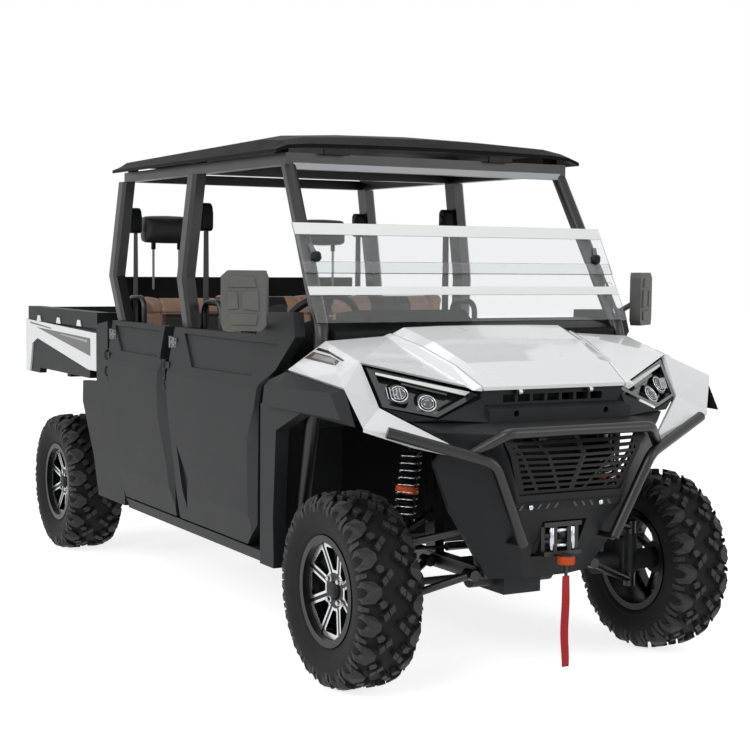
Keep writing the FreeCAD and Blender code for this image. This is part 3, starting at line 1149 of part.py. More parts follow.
def hood():
    """The hood panel with two bored ears under its front edge."""
    parts = [skin(hood_rows(), UP * -HOOD_THICKNESS)]
    bores = []
    for pin in hood_pins():
        half = ALONG_Y * (HOOD_EAR_WIDTH / 2)
        parts.append(rod(pin - half, pin + half, 2 * HOOD_EAR_REACH))
        parts.append(block((pin.x - HOOD_EAR_REACH, pin.y - half.y, pin.z),
                           (pin.x + HOOD_PIVOT_BACK, pin.y + half.y, HOOD_FRONT_Z - HOOD_THICKNESS / 4)))
        bores.append(rod(pin - half, pin + half, HOOD_PIN + 2 * SEAT_CLEARANCE))
    return fuse(parts).cut(Part.makeCompound(bores))


GRILLE_TOP_AHEAD = 388.0
GRILLE_BOTTOM_AHEAD = 370.0
GRILLE_TOP_Z = 905.0
GRILLE_BOTTOM_Z = 690.0
GRILLE_TOP_HALF_WIDTH = 304.0
GRILLE_BOTTOM_HALF_WIDTH = 214.0
GRILLE_THICKNESS = 14.0
GRILLE_BAR_COUNT = 9
SLOT_DROP_SHARE = 0.25
COVER_WIDE_Z = 800.0
COVER_HALF_WIDTH = 470.0
COVER_DEPTH = 60.0
PLATE_LOW_Z = 640.0
COVER_TOP_SIDE_AHEAD = 205.0
COVER_TOP_HALF_WIDTH = 530.0
COVER_UPPER_HALF_WIDTH = 485.0
COVER_WAIST_Z = 872.0
COVER_WAIST_AHEAD = 275.0
COVER_WAIST_HALF_WIDTH = 432.0
COVER_FOOT_AHEAD = 290.0
COVER_SIDE_AHEAD = 240.0
SKID_Z = 372.0
SKID_HALF_WIDTH = 214.0
WINCH_HALF_WIDTH = 95.0
WINCH_LOW_Z = 455.0
WINCH_HIGH_Z = 590.0
COVER_THICKNESS = 20.0
GRILLE_CROWN = 46.0
GRILLE_WIDE_Z = 834.0
GRILLE_WIDE_HALF_WIDTH = 272.0
GRILLE_Y_SHARES = (-1.0, -0.5, 0.0, 0.5, 1.0)
CHEVRON_SHARES = ((0.92, 0.62), (0.62, 0.2))


def cover_rows():
    """Rows of points across the bumper cover, from its top edge down to the skid."""
    rows = []
    for z, centre, corner_y, side_x, side_y in COVER_STATIONS:
        half = [Vector(FRONT_AXLE_X + centre, 0, z), Vector(FRONT_AXLE_X + centre, corner_y, z),
                Vector(FRONT_AXLE_X + side_x, side_y, z)]
        rows.append([Vector(p.x, -p.y, p.z) for p in reversed(half[1:])] + half)
    return rows


COVER_STATIONS = (
    (COVER_TOP_Z, NOSE_FRONT_AHEAD, NOSE_HALF_WIDTH, COVER_TOP_SIDE_AHEAD, COVER_TOP_HALF_WIDTH),
    (GRILLE_TOP_Z, GRILLE_TOP_AHEAD, GRILLE_TOP_HALF_WIDTH, COVER_SIDE_AHEAD, COVER_UPPER_HALF_WIDTH),
    (COVER_WAIST_Z, GRILLE_TOP_AHEAD, GRILLE_TOP_HALF_WIDTH, COVER_WAIST_AHEAD, COVER_WAIST_HALF_WIDTH),
    (COVER_WIDE_Z, GRILLE_TOP_AHEAD, mix(GRILLE_BOTTOM_HALF_WIDTH, GRILLE_TOP_HALF_WIDTH, 1 / 2),
     COVER_SIDE_AHEAD, COVER_HALF_WIDTH),
    (PLATE_LOW_Z, GRILLE_BOTTOM_AHEAD, GRILLE_BOTTOM_HALF_WIDTH, COVER_SIDE_AHEAD, COVER_HALF_WIDTH - COVER_DEPTH),
    (SKID_Z, COVER_FOOT_AHEAD - COVER_DEPTH, SKID_HALF_WIDTH - 2 * COVER_DEPTH,
     ARM_MOUNT_SPREAD + UPRIGHT_SIZE / 2 + SEAT_CLEARANCE + COVER_THICKNESS, SKID_HALF_WIDTH),
)


def bumper_cover():
    """The black shell round the grille, down to the skid, with openings for the grille and the winch."""
    shell = skin(cover_rows(), ALONG_X * -COVER_THICKNESS)
    reach = ALONG_X * (FRONT_OVERHANG + CUT_OVERRUN)
    start_x = FRONT_AXLE_X
    grille_hole = plate([
        Vector(start_x, -GRILLE_TOP_HALF_WIDTH, GRILLE_TOP_Z),
        Vector(start_x, GRILLE_TOP_HALF_WIDTH, GRILLE_TOP_Z),
        Vector(start_x, GRILLE_BOTTOM_HALF_WIDTH, GRILLE_BOTTOM_Z),
        Vector(start_x, -GRILLE_BOTTOM_HALF_WIDTH, GRILLE_BOTTOM_Z),
    ], 0, reach)
    winch_hole = block((start_x, -WINCH_HALF_WIDTH, WINCH_LOW_Z),
                       (start_x + FRONT_OVERHANG, WINCH_HALF_WIDTH, WINCH_HIGH_Z))
    return shell.cut(Part.makeCompound([grille_hole, winch_hole]))


def grille():
    """The grille: a crowned trapezoid panel with rows of slots, in the cover's opening."""
    rows = []
    for z, ahead, half_width, crown in GRILLE_STATIONS:
        row = []
        for share in GRILLE_Y_SHARES:
            row.append(Vector(FRONT_AXLE_X + ahead - crown * share * share, (half_width - SEAT_CLEARANCE) * share, z))
        rows.append(row)
    sheet = skin(rows, ALONG_X * -GRILLE_THICKNESS)
    slots = []
    pitch = (GRILLE_TOP_Z - GRILLE_BOTTOM_Z) / (GRILLE_BAR_COUNT + 1)
    for i in range(GRILLE_BAR_COUNT):
        z = GRILLE_BOTTOM_Z + pitch * (i + 1 - SLOT_DROP_SHARE)
        half = mix(GRILLE_BOTTOM_HALF_WIDTH, GRILLE_TOP_HALF_WIDTH, (i + 1 / 2) / (GRILLE_BAR_COUNT + 1)) - pitch
        for side in SIDES:
            low, high = sorted((side * pitch / 2, side * half))
            slots.append(block((FRONT_AXLE_X, low, z), (FRONT_AXLE_X + FRONT_OVERHANG, high, z + pitch / 2)))
    bars = []
    for side in SIDES:
        for top_share, low_share in CHEVRON_SHARES:
            start = Vector(FRONT_AXLE_X + GRILLE_TOP_AHEAD, side * GRILLE_TOP_HALF_WIDTH * top_share, GRILLE_TOP_Z)
            end = Vector(start.x, side * GRILLE_BOTTOM_HALF_WIDTH * low_share, GRILLE_BOTTOM_Z)
            bars.append(bar(start, end, 2 * COVER_DEPTH, pitch / 2).common(sheet))
    return fuse([sheet.cut(Part.makeCompound(slots))] + bars)


GRILLE_STATIONS = (
    (GRILLE_TOP_Z - SEAT_CLEARANCE, GRILLE_TOP_AHEAD, GRILLE_TOP_HALF_WIDTH, 0),
    (GRILLE_WIDE_Z, FRONT_OVERHANG, GRILLE_WIDE_HALF_WIDTH, GRILLE_CROWN),
    (GRILLE_BOTTOM_Z + SEAT_CLEARANCE, GRILLE_BOTTOM_AHEAD, GRILLE_BOTTOM_HALF_WIDTH, 0),
)


# Bull bar, winch and strap

BULL_DIAMETER = 38.0
BULL_END = (264.0, 668.0, 916.0)
BULL_CORNER = (400.0, 330.0, 812.0)
BULL_FOOT = (372.0, 192.0, 520.0)
BULL_FOOT_INSET = 120.0
BULL_STUB_SHARE = 0.6
BULL_BEND = 70.0
HOOP_SIDE = (348.0, 398.0, 836.0)
HOOP_TOP_AHEAD = 430.0
HOOP_TOP_HALF_WIDTH = 300.0
HOOP_TOP_Z = 912.0
HOOP_BEND = 45.0
WINCH_DEPTH = 120.0
WINCH_DRUM_DIAMETER = 62.0
FAIRLEAD_THICKNESS = 8.0
ROLLER_DIAMETER = 20.0
ROLLER_SPACING = 60.0
STOPPER_DIAMETER = 60.0
STOPPER_HEIGHT = 28.0
HOOK_DIAMETER = 12.0
HOOK_LENGTH = 60.0
STRAP_WIDTH = 28.0
STRAP_THICKNESS = 3.0
STRAP_LENGTH = 370.0
ROPE_DIAMETER = 8.0


def ahead(offset, y, z):
    """A point at an offset ahead of the front axle."""
    return Vector(FRONT_AXLE_X + offset, y, z)


def bull_bar():
    """The tubular front guard: two bent side tubes and the hoop that joins them over the grille."""
    parts = []
    behind_cover = skin(cover_rows(), ALONG_X * -FRONT_OVERHANG).translated(ALONG_X * SEAT_CLEARANCE)
    for side in SIDES:
        end, corner, foot = [ahead(x, side * y, z) for x, y, z in (BULL_END, BULL_CORNER, BULL_FOOT)]
        parts.append(tube([end, corner, foot], BULL_BEND, BULL_DIAMETER))
        stub = rod(foot, foot - ALONG_X * BULL_FOOT_INSET, BULL_DIAMETER * BULL_STUB_SHARE)
        parts.append(stub.cut(behind_cover))
    x, y, z = HOOP_SIDE
    hoop = [ahead(x, -y, z), ahead(HOOP_TOP_AHEAD, -HOOP_TOP_HALF_WIDTH, HOOP_TOP_Z),
            ahead(HOOP_TOP_AHEAD, HOOP_TOP_HALF_WIDTH, HOOP_TOP_Z), ahead(x, y, z)]
    parts.append(tube(hoop, HOOP_BEND, BULL_DIAMETER))
    return fuse(parts)


WINCH_FACE_AHEAD = COVER_FOOT_AHEAD + 26.0
WINCH_MIDDLE_Z = (WINCH_LOW_Z + WINCH_HIGH_Z) / 2


def winch():
    """The winch drum and its ends, the fairlead plate with two upright rollers, and the stopper and hook."""
    face_x = FRONT_AXLE_X + WINCH_FACE_AHEAD
    half = WINCH_HALF_WIDTH - 2 * PANEL_GAP
    parts = []
    for side in SIDES:
        y = side * half
        low, high = sorted((y, y - side * FAIRLEAD_THICKNESS * 2))
        parts.append(block((face_x - WINCH_DEPTH, low, WINCH_LOW_Z + PANEL_GAP),
                           (face_x, high, WINCH_HIGH_Z - PANEL_GAP)))
        for z in (WINCH_LOW_Z + 2 * PANEL_GAP, WINCH_HIGH_Z - 2 * PANEL_GAP):
            parts.append(block((face_x - FAIRLEAD_THICKNESS, -half, z - PANEL_GAP),
                               (face_x + ROLLER_DIAMETER, half, z + PANEL_GAP)))
        start = Vector(face_x + ROLLER_DIAMETER / 2, side * ROLLER_SPACING / 2, WINCH_LOW_Z + PANEL_GAP)
        parts.append(rod(start, start + UP * (WINCH_HIGH_Z - WINCH_LOW_Z - 2 * PANEL_GAP), ROLLER_DIAMETER))
    parts.append(block((FRONT_AXLE_X + RAIL_FRONT_AHEAD + SEAT_CLEARANCE, -half, RAIL_TOP_Z - UPRIGHT_SIZE),
                       (face_x - WINCH_DEPTH + PANEL_GAP, half, WINCH_LOW_Z + 2 * PANEL_GAP)))
    middle = Vector(face_x - WINCH_DEPTH / 2, -half, WINCH_MIDDLE_Z)
    parts.append(rod(middle, middle + ALONG_Y * (2 * half), WINCH_DRUM_DIAMETER))
    front = Vector(face_x - WINCH_DEPTH / 2, 0, WINCH_MIDDLE_Z)
    nose = Vector(face_x + 2 * ROLLER_DIAMETER, 0, WINCH_LOW_Z)
    parts.append(rod(front, nose, ROPE_DIAMETER))
    parts.append(rod(nose + UP * (STOPPER_HEIGHT / 2), nose - UP * (STOPPER_HEIGHT / 2), STOPPER_DIAMETER))
    parts.append(rod(nose, nose - UP * HOOK_LENGTH, HOOK_DIAMETER))
    return fuse(parts)


def hook_strap():
    """The pull strap that hangs from the hook."""
    top = Vector(FRONT_AXLE_X + WINCH_FACE_AHEAD + 2 * ROLLER_DIAMETER, 0, WINCH_LOW_Z - HOOK_LENGTH - SEAT_CLEARANCE)
    return block((top.x - STRAP_THICKNESS / 2, -STRAP_WIDTH / 2, top.z - STRAP_LENGTH),
                 (top.x + STRAP_THICKNESS / 2, STRAP_WIDTH / 2, top.z))


# Running gear

KINGPIN_Y = 560.0
REAR_PIN_Y = 535.0
LOWER_PIN_Z = 268.0
UPPER_PIN_Z = 470.0
LOWER_MOUNT_Z = 384.0
UPPER_MOUNT_Z = 548.0
ARM_DIAMETER = 28.0
BALL_DIAMETER = 44.0
BALL_HEIGHT = 50.0
HUB_HOUSING_SHARE = 1.5
KNUCKLE_DIAMETER = 52.0
HUB_DIAMETER = 120.0
STEER_ARM_Y = 45.0
STEER_ARM_THICKNESS = 16.0
SHOCK_LOWER_Y = 455.0
SHOCK_DIAMETER = 76.0
SHOCK_ROD_DIAMETER = 24.0
SHOCK_TILT_SHARE = 0.15
SPRING_WIRE = 11.0
BUSH_SHARE = 1.4
SPRING_TURNS = 7
SPRING_LOW_SHARE = 0.16
SPRING_HIGH_SHARE = 0.88
SHAFT_DIAMETER = 27.0
BOOT_DIAMETER = 82.0
BOOT_LENGTH = 95.0
DIFF_SIZE = (180.0, 160.0, 120.0)
PROP_DIAMETER = 48.0
PROP_Z = 318.0
DIFF_CARRIER = 60.0
RACK_DIAMETER = 32.0
RACK_AHEAD = -112.0
STEER_ARM_Z = 420.0
TIE_ROD_DIAMETER = 16.0
RACK_HALF_LENGTH = 200.0


def hub_face_y(track, width):
    """The inner face of a rim's disc, where the hub bears on it."""
    lip = width * RIM_SEAT_HALF_SHARE + SEAT_CLEARANCE
    return track / 2 + lip - RIM_DISC_INSET - RIM_DISC_THICKNESS


def upright(axle_x, pin_y, face_y):
    """A left upright with its hub: a pin post, a stub axle housing and the flange that carries the wheel."""
    centre = Vector(axle_x, pin_y, TYRE_RADIUS)
    post = rod(Vector(axle_x, pin_y, LOWER_PIN_Z + BALL_HEIGHT / 2 + SEAT_CLEARANCE),
               Vector(axle_x, pin_y, UPPER_PIN_Z - BALL_HEIGHT / 2 - SEAT_CLEARANCE), KNUCKLE_DIAMETER)
    housing = rod(centre, Vector(axle_x, face_y - HUB_BORE_RADIUS, TYRE_RADIUS), KNUCKLE_DIAMETER * HUB_HOUSING_SHARE)
    flange_end = Vector(axle_x, face_y - SEAT_CLEARANCE, TYRE_RADIUS)
    flange = rod(flange_end - ALONG_Y * HUB_BORE_RADIUS, flange_end, HUB_DIAMETER)
    spindle = rod(flange_end, flange_end + ALONG_Y * RIM_DISC_THICKNESS, 2 * (HUB_BORE_RADIUS - SEAT_CLEARANCE))
    return [post, housing, flange, spindle]


def front_knuckle():
    """The left front knuckle with its steering arm."""
    face_y = hub_face_y(FRONT_TRACK, FRONT_TYRE_WIDTH)
    parts = upright(FRONT_AXLE_X, KINGPIN_Y, face_y)
    pin_z = STEER_ARM_Z
    parts.append(bar(Vector(FRONT_AXLE_X, KINGPIN_Y, pin_z),
                     Vector(FRONT_AXLE_X + RACK_AHEAD, KINGPIN_Y - STEER_ARM_Y, pin_z),
                     2 * STEER_ARM_THICKNESS, STEER_ARM_THICKNESS))
    return fuse(parts)


def upright_face_y(z, tower_top):
    """The outer face of a tower's leaning upright at one height."""
    share = (z - RAIL_TOP_Z + UPRIGHT_SIZE) / (tower_top - UPRIGHT_SIZE / 2 - RAIL_TOP_Z + UPRIGHT_SIZE)
    return mix(RAIL_Y, TOWER_Y, share) + UPRIGHT_SIZE / 2


def arms(axle_x, pin_y, tower_top):
    """The upper and lower wishbones on the left, with the ball housings at their outer ends."""
    pieces = []
    bush = ARM_DIAMETER * BUSH_SHARE
    faces = (RAIL_Y + RAIL_WIDTH / 2, upright_face_y(UPPER_MOUNT_Z + bush, tower_top))
    for face_y, mount_z, pin_z in zip(faces, (LOWER_MOUNT_Z, UPPER_MOUNT_Z), (LOWER_PIN_Z, UPPER_PIN_Z)):
        pin = Vector(axle_x, pin_y, pin_z)
        parts = [rod(pin - UP * (BALL_HEIGHT / 2), pin + UP * (BALL_HEIGHT / 2), BALL_DIAMETER)]
        foot_y = face_y + bush / 2 + SEAT_CLEARANCE
        for sign in (-1, 1):
            foot = Vector(axle_x + sign * ARM_MOUNT_SPREAD, foot_y, mount_z)
            parts.append(rod(foot, pin, ARM_DIAMETER))
            parts.append(rod(foot - ALONG_X * ARM_DIAMETER, foot + ALONG_X * ARM_DIAMETER, bush))
        if mount_z == UPPER_MOUNT_Z:
            share = (SHOCK_LOWER_Y - foot_y) / (pin_y - foot_y)
            z = mix(mount_z, pin_z, share)
            half = ARM_MOUNT_SPREAD * (1 - share)
            parts.append(block((axle_x - half, SHOCK_LOWER_Y - ARM_DIAMETER / 2, z - ARM_DIAMETER / 2),
                               (axle_x + half, SHOCK_LOWER_Y + ARM_DIAMETER / 2, z + ARM_DIAMETER / 2)))
        pieces.append(fuse(parts))
    return pieces


def shock(axle_x, pin_y, tower_top):
    """A left coil-over shock on the upper wishbone: the damper, its rod and the spring between two collars."""
    foot_y = upright_face_y(UPPER_MOUNT_Z, tower_top)
    share = (SHOCK_LOWER_Y - foot_y) / (pin_y - foot_y)
    tilt_gap = SHOCK_ROD_DIAMETER * SHOCK_TILT_SHARE
    low = Vector(axle_x, SHOCK_LOWER_Y, mix(UPPER_MOUNT_Z, UPPER_PIN_Z, share) + ARM_DIAMETER / 2 + tilt_gap)
    high = Vector(axle_x, SHOCK_UPPER_Y, tower_top - UPRIGHT_SIZE - tilt_gap)
    length = (high - low).Length
    outer = SHOCK_DIAMETER / 2
    inner = outer - SPRING_WIRE
    stem = SHOCK_ROD_DIAMETER / 2
    outline = [(0, 0), (stem, 0), (stem, length * SPRING_LOW_SHARE), (outer, length * SPRING_LOW_SHARE)]
    for i in range(2 * SPRING_TURNS + 1):
        rise = mix(SPRING_LOW_SHARE, SPRING_HIGH_SHARE, (i + 1) / (2 * SPRING_TURNS + 2))
        outline.append((inner if i % 2 == 0 else outer, length * rise))
    outline += [(outer, length * SPRING_HIGH_SHARE), (stem, length * SPRING_HIGH_SHARE), (stem, length), (0, length)]
    points = [Vector(r, 0, z) for r, z in outline]
    body = Part.Face(Part.makePolygon(points + [points[0]])).revolve(NO_MOVE, UP, FULL_TURN)
    body.Placement = FreeCAD.Placement(low, FreeCAD.Rotation(UP, high - low))
    return body


def rear_carrier():
    """The left rear hub carrier."""
    return fuse(upright(REAR_AXLE_X, REAR_PIN_Y, hub_face_y(REAR_TRACK, REAR_TYRE_WIDTH)))


def half_shaft(axle_x, pin_y):
    """A left half shaft with a boot at each end, from the differential to the upright."""
    start = Vector(axle_x, DIFF_SIZE[1] / 2, TYRE_RADIUS)
    end = Vector(axle_x, pin_y - BOOT_DIAMETER, TYRE_RADIUS)
    return [rod(start, end, SHAFT_DIAMETER), rod(start, start + ALONG_Y * BOOT_LENGTH, BOOT_DIAMETER),
            rod(end - ALONG_Y * BOOT_LENGTH, end, BOOT_DIAMETER)]


def driveline():
    """Both differentials with their half shafts, and the propeller shaft between them."""
    parts = []
    length, width, height = DIFF_SIZE
    for axle_x, pin_y in ((FRONT_AXLE_X, KINGPIN_Y), (REAR_AXLE_X, REAR_PIN_Y)):
        parts.append(block((axle_x - length / 2, -width / 2, TYRE_RADIUS - height / 2),
                           (axle_x + length / 2, width / 2, TYRE_RADIUS + height / 2)))
        parts.append(block((axle_x - DIFF_CARRIER / 2, -RAIL_Y + RAIL_WIDTH / 2 + SEAT_CLEARANCE, RAIL_BOTTOM_Z),
                           (axle_x + DIFF_CARRIER / 2, RAIL_Y - RAIL_WIDTH / 2 - SEAT_CLEARANCE, RAIL_TOP_Z)))
        for shape in half_shaft(axle_x, pin_y):
            parts += [shape, mirrored(shape)]
    parts.append(rod(Vector(REAR_AXLE_X, 0, PROP_Z), Vector(FRONT_AXLE_X, 0, PROP_Z), PROP_DIAMETER))
    return fuse(parts)


def steering_rack():
    """The rack bar with its tie rods, which end beside the knuckles' steering arms."""
    x = FRONT_AXLE_X + RACK_AHEAD
    end_y = KINGPIN_Y - STEER_ARM_Y
    z = STEER_ARM_Z + STEER_ARM_THICKNESS / 2 + TIE_ROD_DIAMETER / 2 + SEAT_CLEARANCE
    bar_part = rod(Vector(x, -RACK_HALF_LENGTH, z), Vector(x, RACK_HALF_LENGTH, z), RACK_DIAMETER)
    rods = rod(Vector(x, -end_y, z), Vector(x, end_y, z), TIE_ROD_DIAMETER)
    return bar_part.fuse(rods).removeSplitter()


# Rear body and bed

ENGINE_LENGTH = 355.0
ENGINE_WIDTH = 360.0
ENGINE_HEIGHT = 360.0
ENGINE_REAR_AHEAD = 180.0
MUFFLER_DIAMETER = 165.0
MUFFLER_HALF_LENGTH = 195.0
MUFFLER_Z = 610.0
MUFFLER_BRACKET = 30.0
QUARTER_OUTLINE_SHARES = (
    (0.601, 1), (0.343, 0.976), (0.343, 0.651), (0.01, 0.639), (0, 0.518), (0.266, 0.221), (0.384, 0),
    (0.983, 0), (0.983, 0.054), (0.676, 0.564), (0.601, 0.669),
)
QUARTER_REAR_AHEAD = 404.0
QUARTER_REAR_BACK = WHEELBASE - QUARTER_REAR_AHEAD
QUARTER_LOW_FRONT_AHEAD = 1005.0
QUARTER_LOW_FRONT_BACK = WHEELBASE - QUARTER_LOW_FRONT_AHEAD
QUARTER_TOP_Z = 1190.0
BED_FRONT_AHEAD = 555.0
BED_FRONT_BACK = WHEELBASE - BED_FRONT_AHEAD
BED_REAR_GAP = 45.0
BED_HALF_WIDTH = 700.0
BED_WALL = 32.0
BED_FLOOR_THICKNESS = 22.0
BED_RAIL_OUT = 40.0
BED_RAIL_HEIGHT = 75.0
BED_RIB_HEIGHT = 45.0
BED_RIB_WIDTH = 50.0
SIDE_PANEL_Y = 745.0
SIDE_PANEL_SHARES = ((0.0, 1.0), (1.0, 0.90), (1.0, 0.25), (0.90, 0.25), (0.18, 0.66), (0.10, 0.55), (0.06, 0.0),
                     (0.0, 0.0))
SIDE_PANEL_LOW_Z = 873.0
SIDE_PANEL_TOP_Z = 1152.0
BED_FENDER_SHARES = ((0.065, 0.0), (0.10, 0.54), (0.18, 0.655), (0.90, 0.245), (0.90, 0.10), (0.20, 0.10),
                     (0.19, 0.0))
TAIL_LAMP_DEPTH = 14.0
TAIL_LAMP_WIDTH = 30.0
TAIL_LAMP_LOW_Z = 945.0
TAIL_LAMP_HIGH_Z = 1140.0
TAILGATE_THICKNESS = 36.0
TAILGATE_PIVOT_AHEAD = 22.0
TAILGATE_PIVOT_Z = 930.0
TAILGATE_PIN = 12.0
TAILGATE_EAR_Y = 500.0
TAILGATE_EAR_WIDTH = 18.0
TAILGATE_EAR_REACH = 10.0
TAILGATE_HALF_WIDTH = 652.0
TAILGATE_TOP_Z = 1215.0
HITCH_SIZE = 50.0
HITCH_Z = 400.0
HITCH_PIN_DIAMETER = 16.0

BED_FRONT_X = FRONT_AXLE_X - BED_FRONT_BACK
BED_REAR_X = REAR_AXLE_X - REAR_OVERHANG + BED_REAR_GAP
BED_REAR_END_X = REAR_AXLE_X - REAR_OVERHANG
SIDE_PANEL_REAR_X = BED_REAR_END_X + TAIL_LAMP_DEPTH + SEAT_CLEARANCE


def quarter():
    """The black quarter panel on the left, behind the rear door and ahead of the rear wheel."""
    points = side_outline(QUARTER_OUTLINE_SHARES, FRONT_AXLE_X - QUARTER_REAR_BACK,
                          FRONT_AXLE_X - QUARTER_LOW_FRONT_BACK, SILL_BOTTOM_Z + PANEL_GAP, QUARTER_TOP_Z, SILL_INNER_Y)
    return plate(points, 0, ALONG_Y * (DOOR_HALF_WIDTH - SILL_INNER_Y - SIDE_INSETS[1]))


def bed_tub():
    """The cargo bed: floor, front wall and side walls with rolled rails, on cross ribs with pivot ears."""
    low = BED_FLOOR_Z - BED_FLOOR_THICKNESS
    outer = block((BED_REAR_X, -BED_HALF_WIDTH, low), (BED_FRONT_X, BED_HALF_WIDTH, BED_TOP_Z))
    rails = block((BED_REAR_X, -BED_HALF_WIDTH - BED_RAIL_OUT, BED_TOP_Z - BED_RAIL_HEIGHT),
                  (BED_FRONT_X, BED_HALF_WIDTH + BED_RAIL_OUT, BED_TOP_Z))
    hollow = block((BED_REAR_X - CUT_OVERRUN, -BED_HALF_WIDTH + BED_WALL, BED_FLOOR_Z),
                   (BED_FRONT_X - BED_WALL, BED_HALF_WIDTH - BED_WALL, BED_TOP_Z + CUT_OVERRUN))
    parts = [outer.fuse(rails).cut(hollow)]
    pivot_x = REAR_AXLE_X - BED_PIVOT_BEHIND
    for x in (BED_FRONT_X - 2 * BED_RIB_WIDTH, REAR_AXLE_X):
        parts.append(block((x - BED_RIB_WIDTH / 2, -BED_HALF_WIDTH, low - BED_RIB_HEIGHT),
                           (x + BED_RIB_WIDTH / 2, BED_HALF_WIDTH, low)))
    bore = []
    for side in SIDES:
        y = side * BED_PIVOT_Y
        parts.append(block((pivot_x - BED_PIVOT_PIN, y - BED_PIVOT_PIN / 2, BED_PIVOT_Z - BED_PIVOT_PIN),
                           (pivot_x + BED_PIVOT_PIN, y + BED_PIVOT_PIN / 2, low)))
        bore.append(rod(Vector(pivot_x, y - BED_PIVOT_PIN, BED_PIVOT_Z),
                        Vector(pivot_x, y + BED_PIVOT_PIN, BED_PIVOT_Z), BED_PIVOT_PIN + 2 * SEAT_CLEARANCE))
        pin = Vector(BED_REAR_END_X + TAILGATE_PIVOT_AHEAD, side * TAILGATE_EAR_Y, TAILGATE_PIVOT_Z)
        reach = ALONG_Y * (TAILGATE_EAR_WIDTH / 2 + 2 * SEAT_CLEARANCE)
        cheek = ALONG_Y * TAILGATE_EAR_REACH
        parts.append(rod(pin - reach, pin + reach, TAILGATE_PIN))
        for start, end in ((pin - reach - cheek, pin - reach), (pin + reach, pin + reach + cheek)):
            parts.append(block((pin.x - TAILGATE_EAR_REACH, start.y, pin.z - TAILGATE_EAR_REACH),
                               (BED_REAR_X + TAILGATE_EAR_REACH, end.y, pin.z + TAILGATE_EAR_REACH)))
    return fuse(parts).cut(Part.makeCompound(bore))


def bed_side_panel():
    """The white panel on the bed's left side."""
    points = side_outline(SIDE_PANEL_SHARES, SIDE_PANEL_REAR_X, BED_FRONT_X, SIDE_PANEL_LOW_Z, SIDE_PANEL_TOP_Z,
                          BED_HALF_WIDTH + SEAT_CLEARANCE)
    body = plate(points, 0, ALONG_Y * (SIDE_PANEL_Y - BED_HALF_WIDTH))
    return body.cut(block((BED_REAR_X - CUT_OVERRUN, 0, BED_TOP_Z - BED_RAIL_HEIGHT - SEAT_CLEARANCE),
                          (BED_FRONT_X + CUT_OVERRUN, SIDE_PANEL_Y, BED_TOP_Z)))


def bed_fender():
    """The black lower panel under the white one, over the left rear wheel."""
    points = side_outline(BED_FENDER_SHARES, SIDE_PANEL_REAR_X, BED_FRONT_X, SIDE_PANEL_LOW_Z, SIDE_PANEL_TOP_Z,
                          BED_HALF_WIDTH + SEAT_CLEARANCE)
    return plate(points, 0, ALONG_Y * (SIDE_PANEL_Y - BED_HALF_WIDTH - PANEL_GAP))


def tailgate():
    """The tailgate between the bed's side walls, with two bored ears under its lower edge."""
    parts = [block((BED_REAR_END_X, -TAILGATE_HALF_WIDTH, BED_FLOOR_Z + PANEL_GAP),
                   (BED_REAR_END_X + TAILGATE_THICKNESS, TAILGATE_HALF_WIDTH, TAILGATE_TOP_Z))]
    bores = []
    for side in SIDES:
        pin = Vector(BED_REAR_END_X + TAILGATE_PIVOT_AHEAD, side * TAILGATE_EAR_Y, TAILGATE_PIVOT_Z)
        half = ALONG_Y * (TAILGATE_EAR_WIDTH / 2)
        parts.append(rod(pin - half, pin + half, 2 * TAILGATE_EAR_REACH))
        parts.append(block((pin.x - TAILGATE_EAR_REACH, pin.y - half.y, pin.z),
                           (pin.x + TAILGATE_EAR_REACH, pin.y + half.y, BED_FLOOR_Z + TAILGATE_THICKNESS)))
        bores.append(rod(pin - half, pin + half, TAILGATE_PIN + 2 * SEAT_CLEARANCE))
    return fuse(parts).cut(Part.makeCompound(bores))


def tail_lamp():
    """The left tail lamp, a slim upright lens on the side panel's rear edge."""
    y = BED_HALF_WIDTH + SEAT_CLEARANCE
    return block((BED_REAR_END_X, y, TAIL_LAMP_LOW_Z),
                 (BED_REAR_END_X + TAIL_LAMP_DEPTH, y + TAIL_LAMP_WIDTH, TAIL_LAMP_HIGH_Z))


def hitch():
    """The receiver under the rear of the frame, with a cross pin hole."""
    rear_x = BED_REAR_END_X + HITCH_SIZE
    front_x = REAR_AXLE_X - RAIL_REAR_BEHIND - SEAT_CLEARANCE
    low = HITCH_Z - HITCH_SIZE / 2
    body = block((rear_x, -HITCH_SIZE / 2, RAIL_BOTTOM_Z), (front_x, HITCH_SIZE / 2, RAIL_BOTTOM_Z + HITCH_SIZE))
    start = Vector(mix(rear_x, front_x, 1 / 3), 0, RAIL_BOTTOM_Z - CUT_OVERRUN)
    return body.cut(rod(start, start + UP * (HITCH_SIZE + 2 * CUT_OVERRUN), HITCH_PIN_DIAMETER))


# Cab fittings

RADIATOR_DEPTH = 40.0
RADIATOR_HALF_WIDTH = 245.0
RADIATOR_LOW_Z = 600.0
RADIATOR_HIGH_Z = 845.0
RETRACTOR_HEIGHT = 120.0
RETRACTOR_LOW_Z = 1600.0
RETRACTOR_WIDTH = 54.0
RETRACTOR_LENGTH = 62.0
BELT_WIDTH = 46.0
BELT_THICKNESS = 3.0
BELT_LOW_Z = 860.0
HIP_BAR_DIAMETER = 25.0
HIP_BAR_INSET = 165.0
HIP_BAR_Y = DOOR_HALF_WIDTH - HIP_BAR_INSET
HIP_BAR_TOP_Z = 1300.0
HIP_BAR_LENGTH = 190.0
HEADREST_POST = 12.0
BAND_THICKNESS = 3.0
BAND_EDGES = ((1336.0, 1366.0, 0), (1552.0, 1594.0, 1))


def headrest():
    """The left rear headrest on its two posts."""
    centre = Vector(FRONT_AXLE_X - HEADREST_BACK, HEADREST_Y, HEADREST_Z)
    half = Vector(HEADREST_DEPTH, HEADREST_WIDTH, HEADREST_HEIGHT) / 2
    return block(centre - half, centre + half)


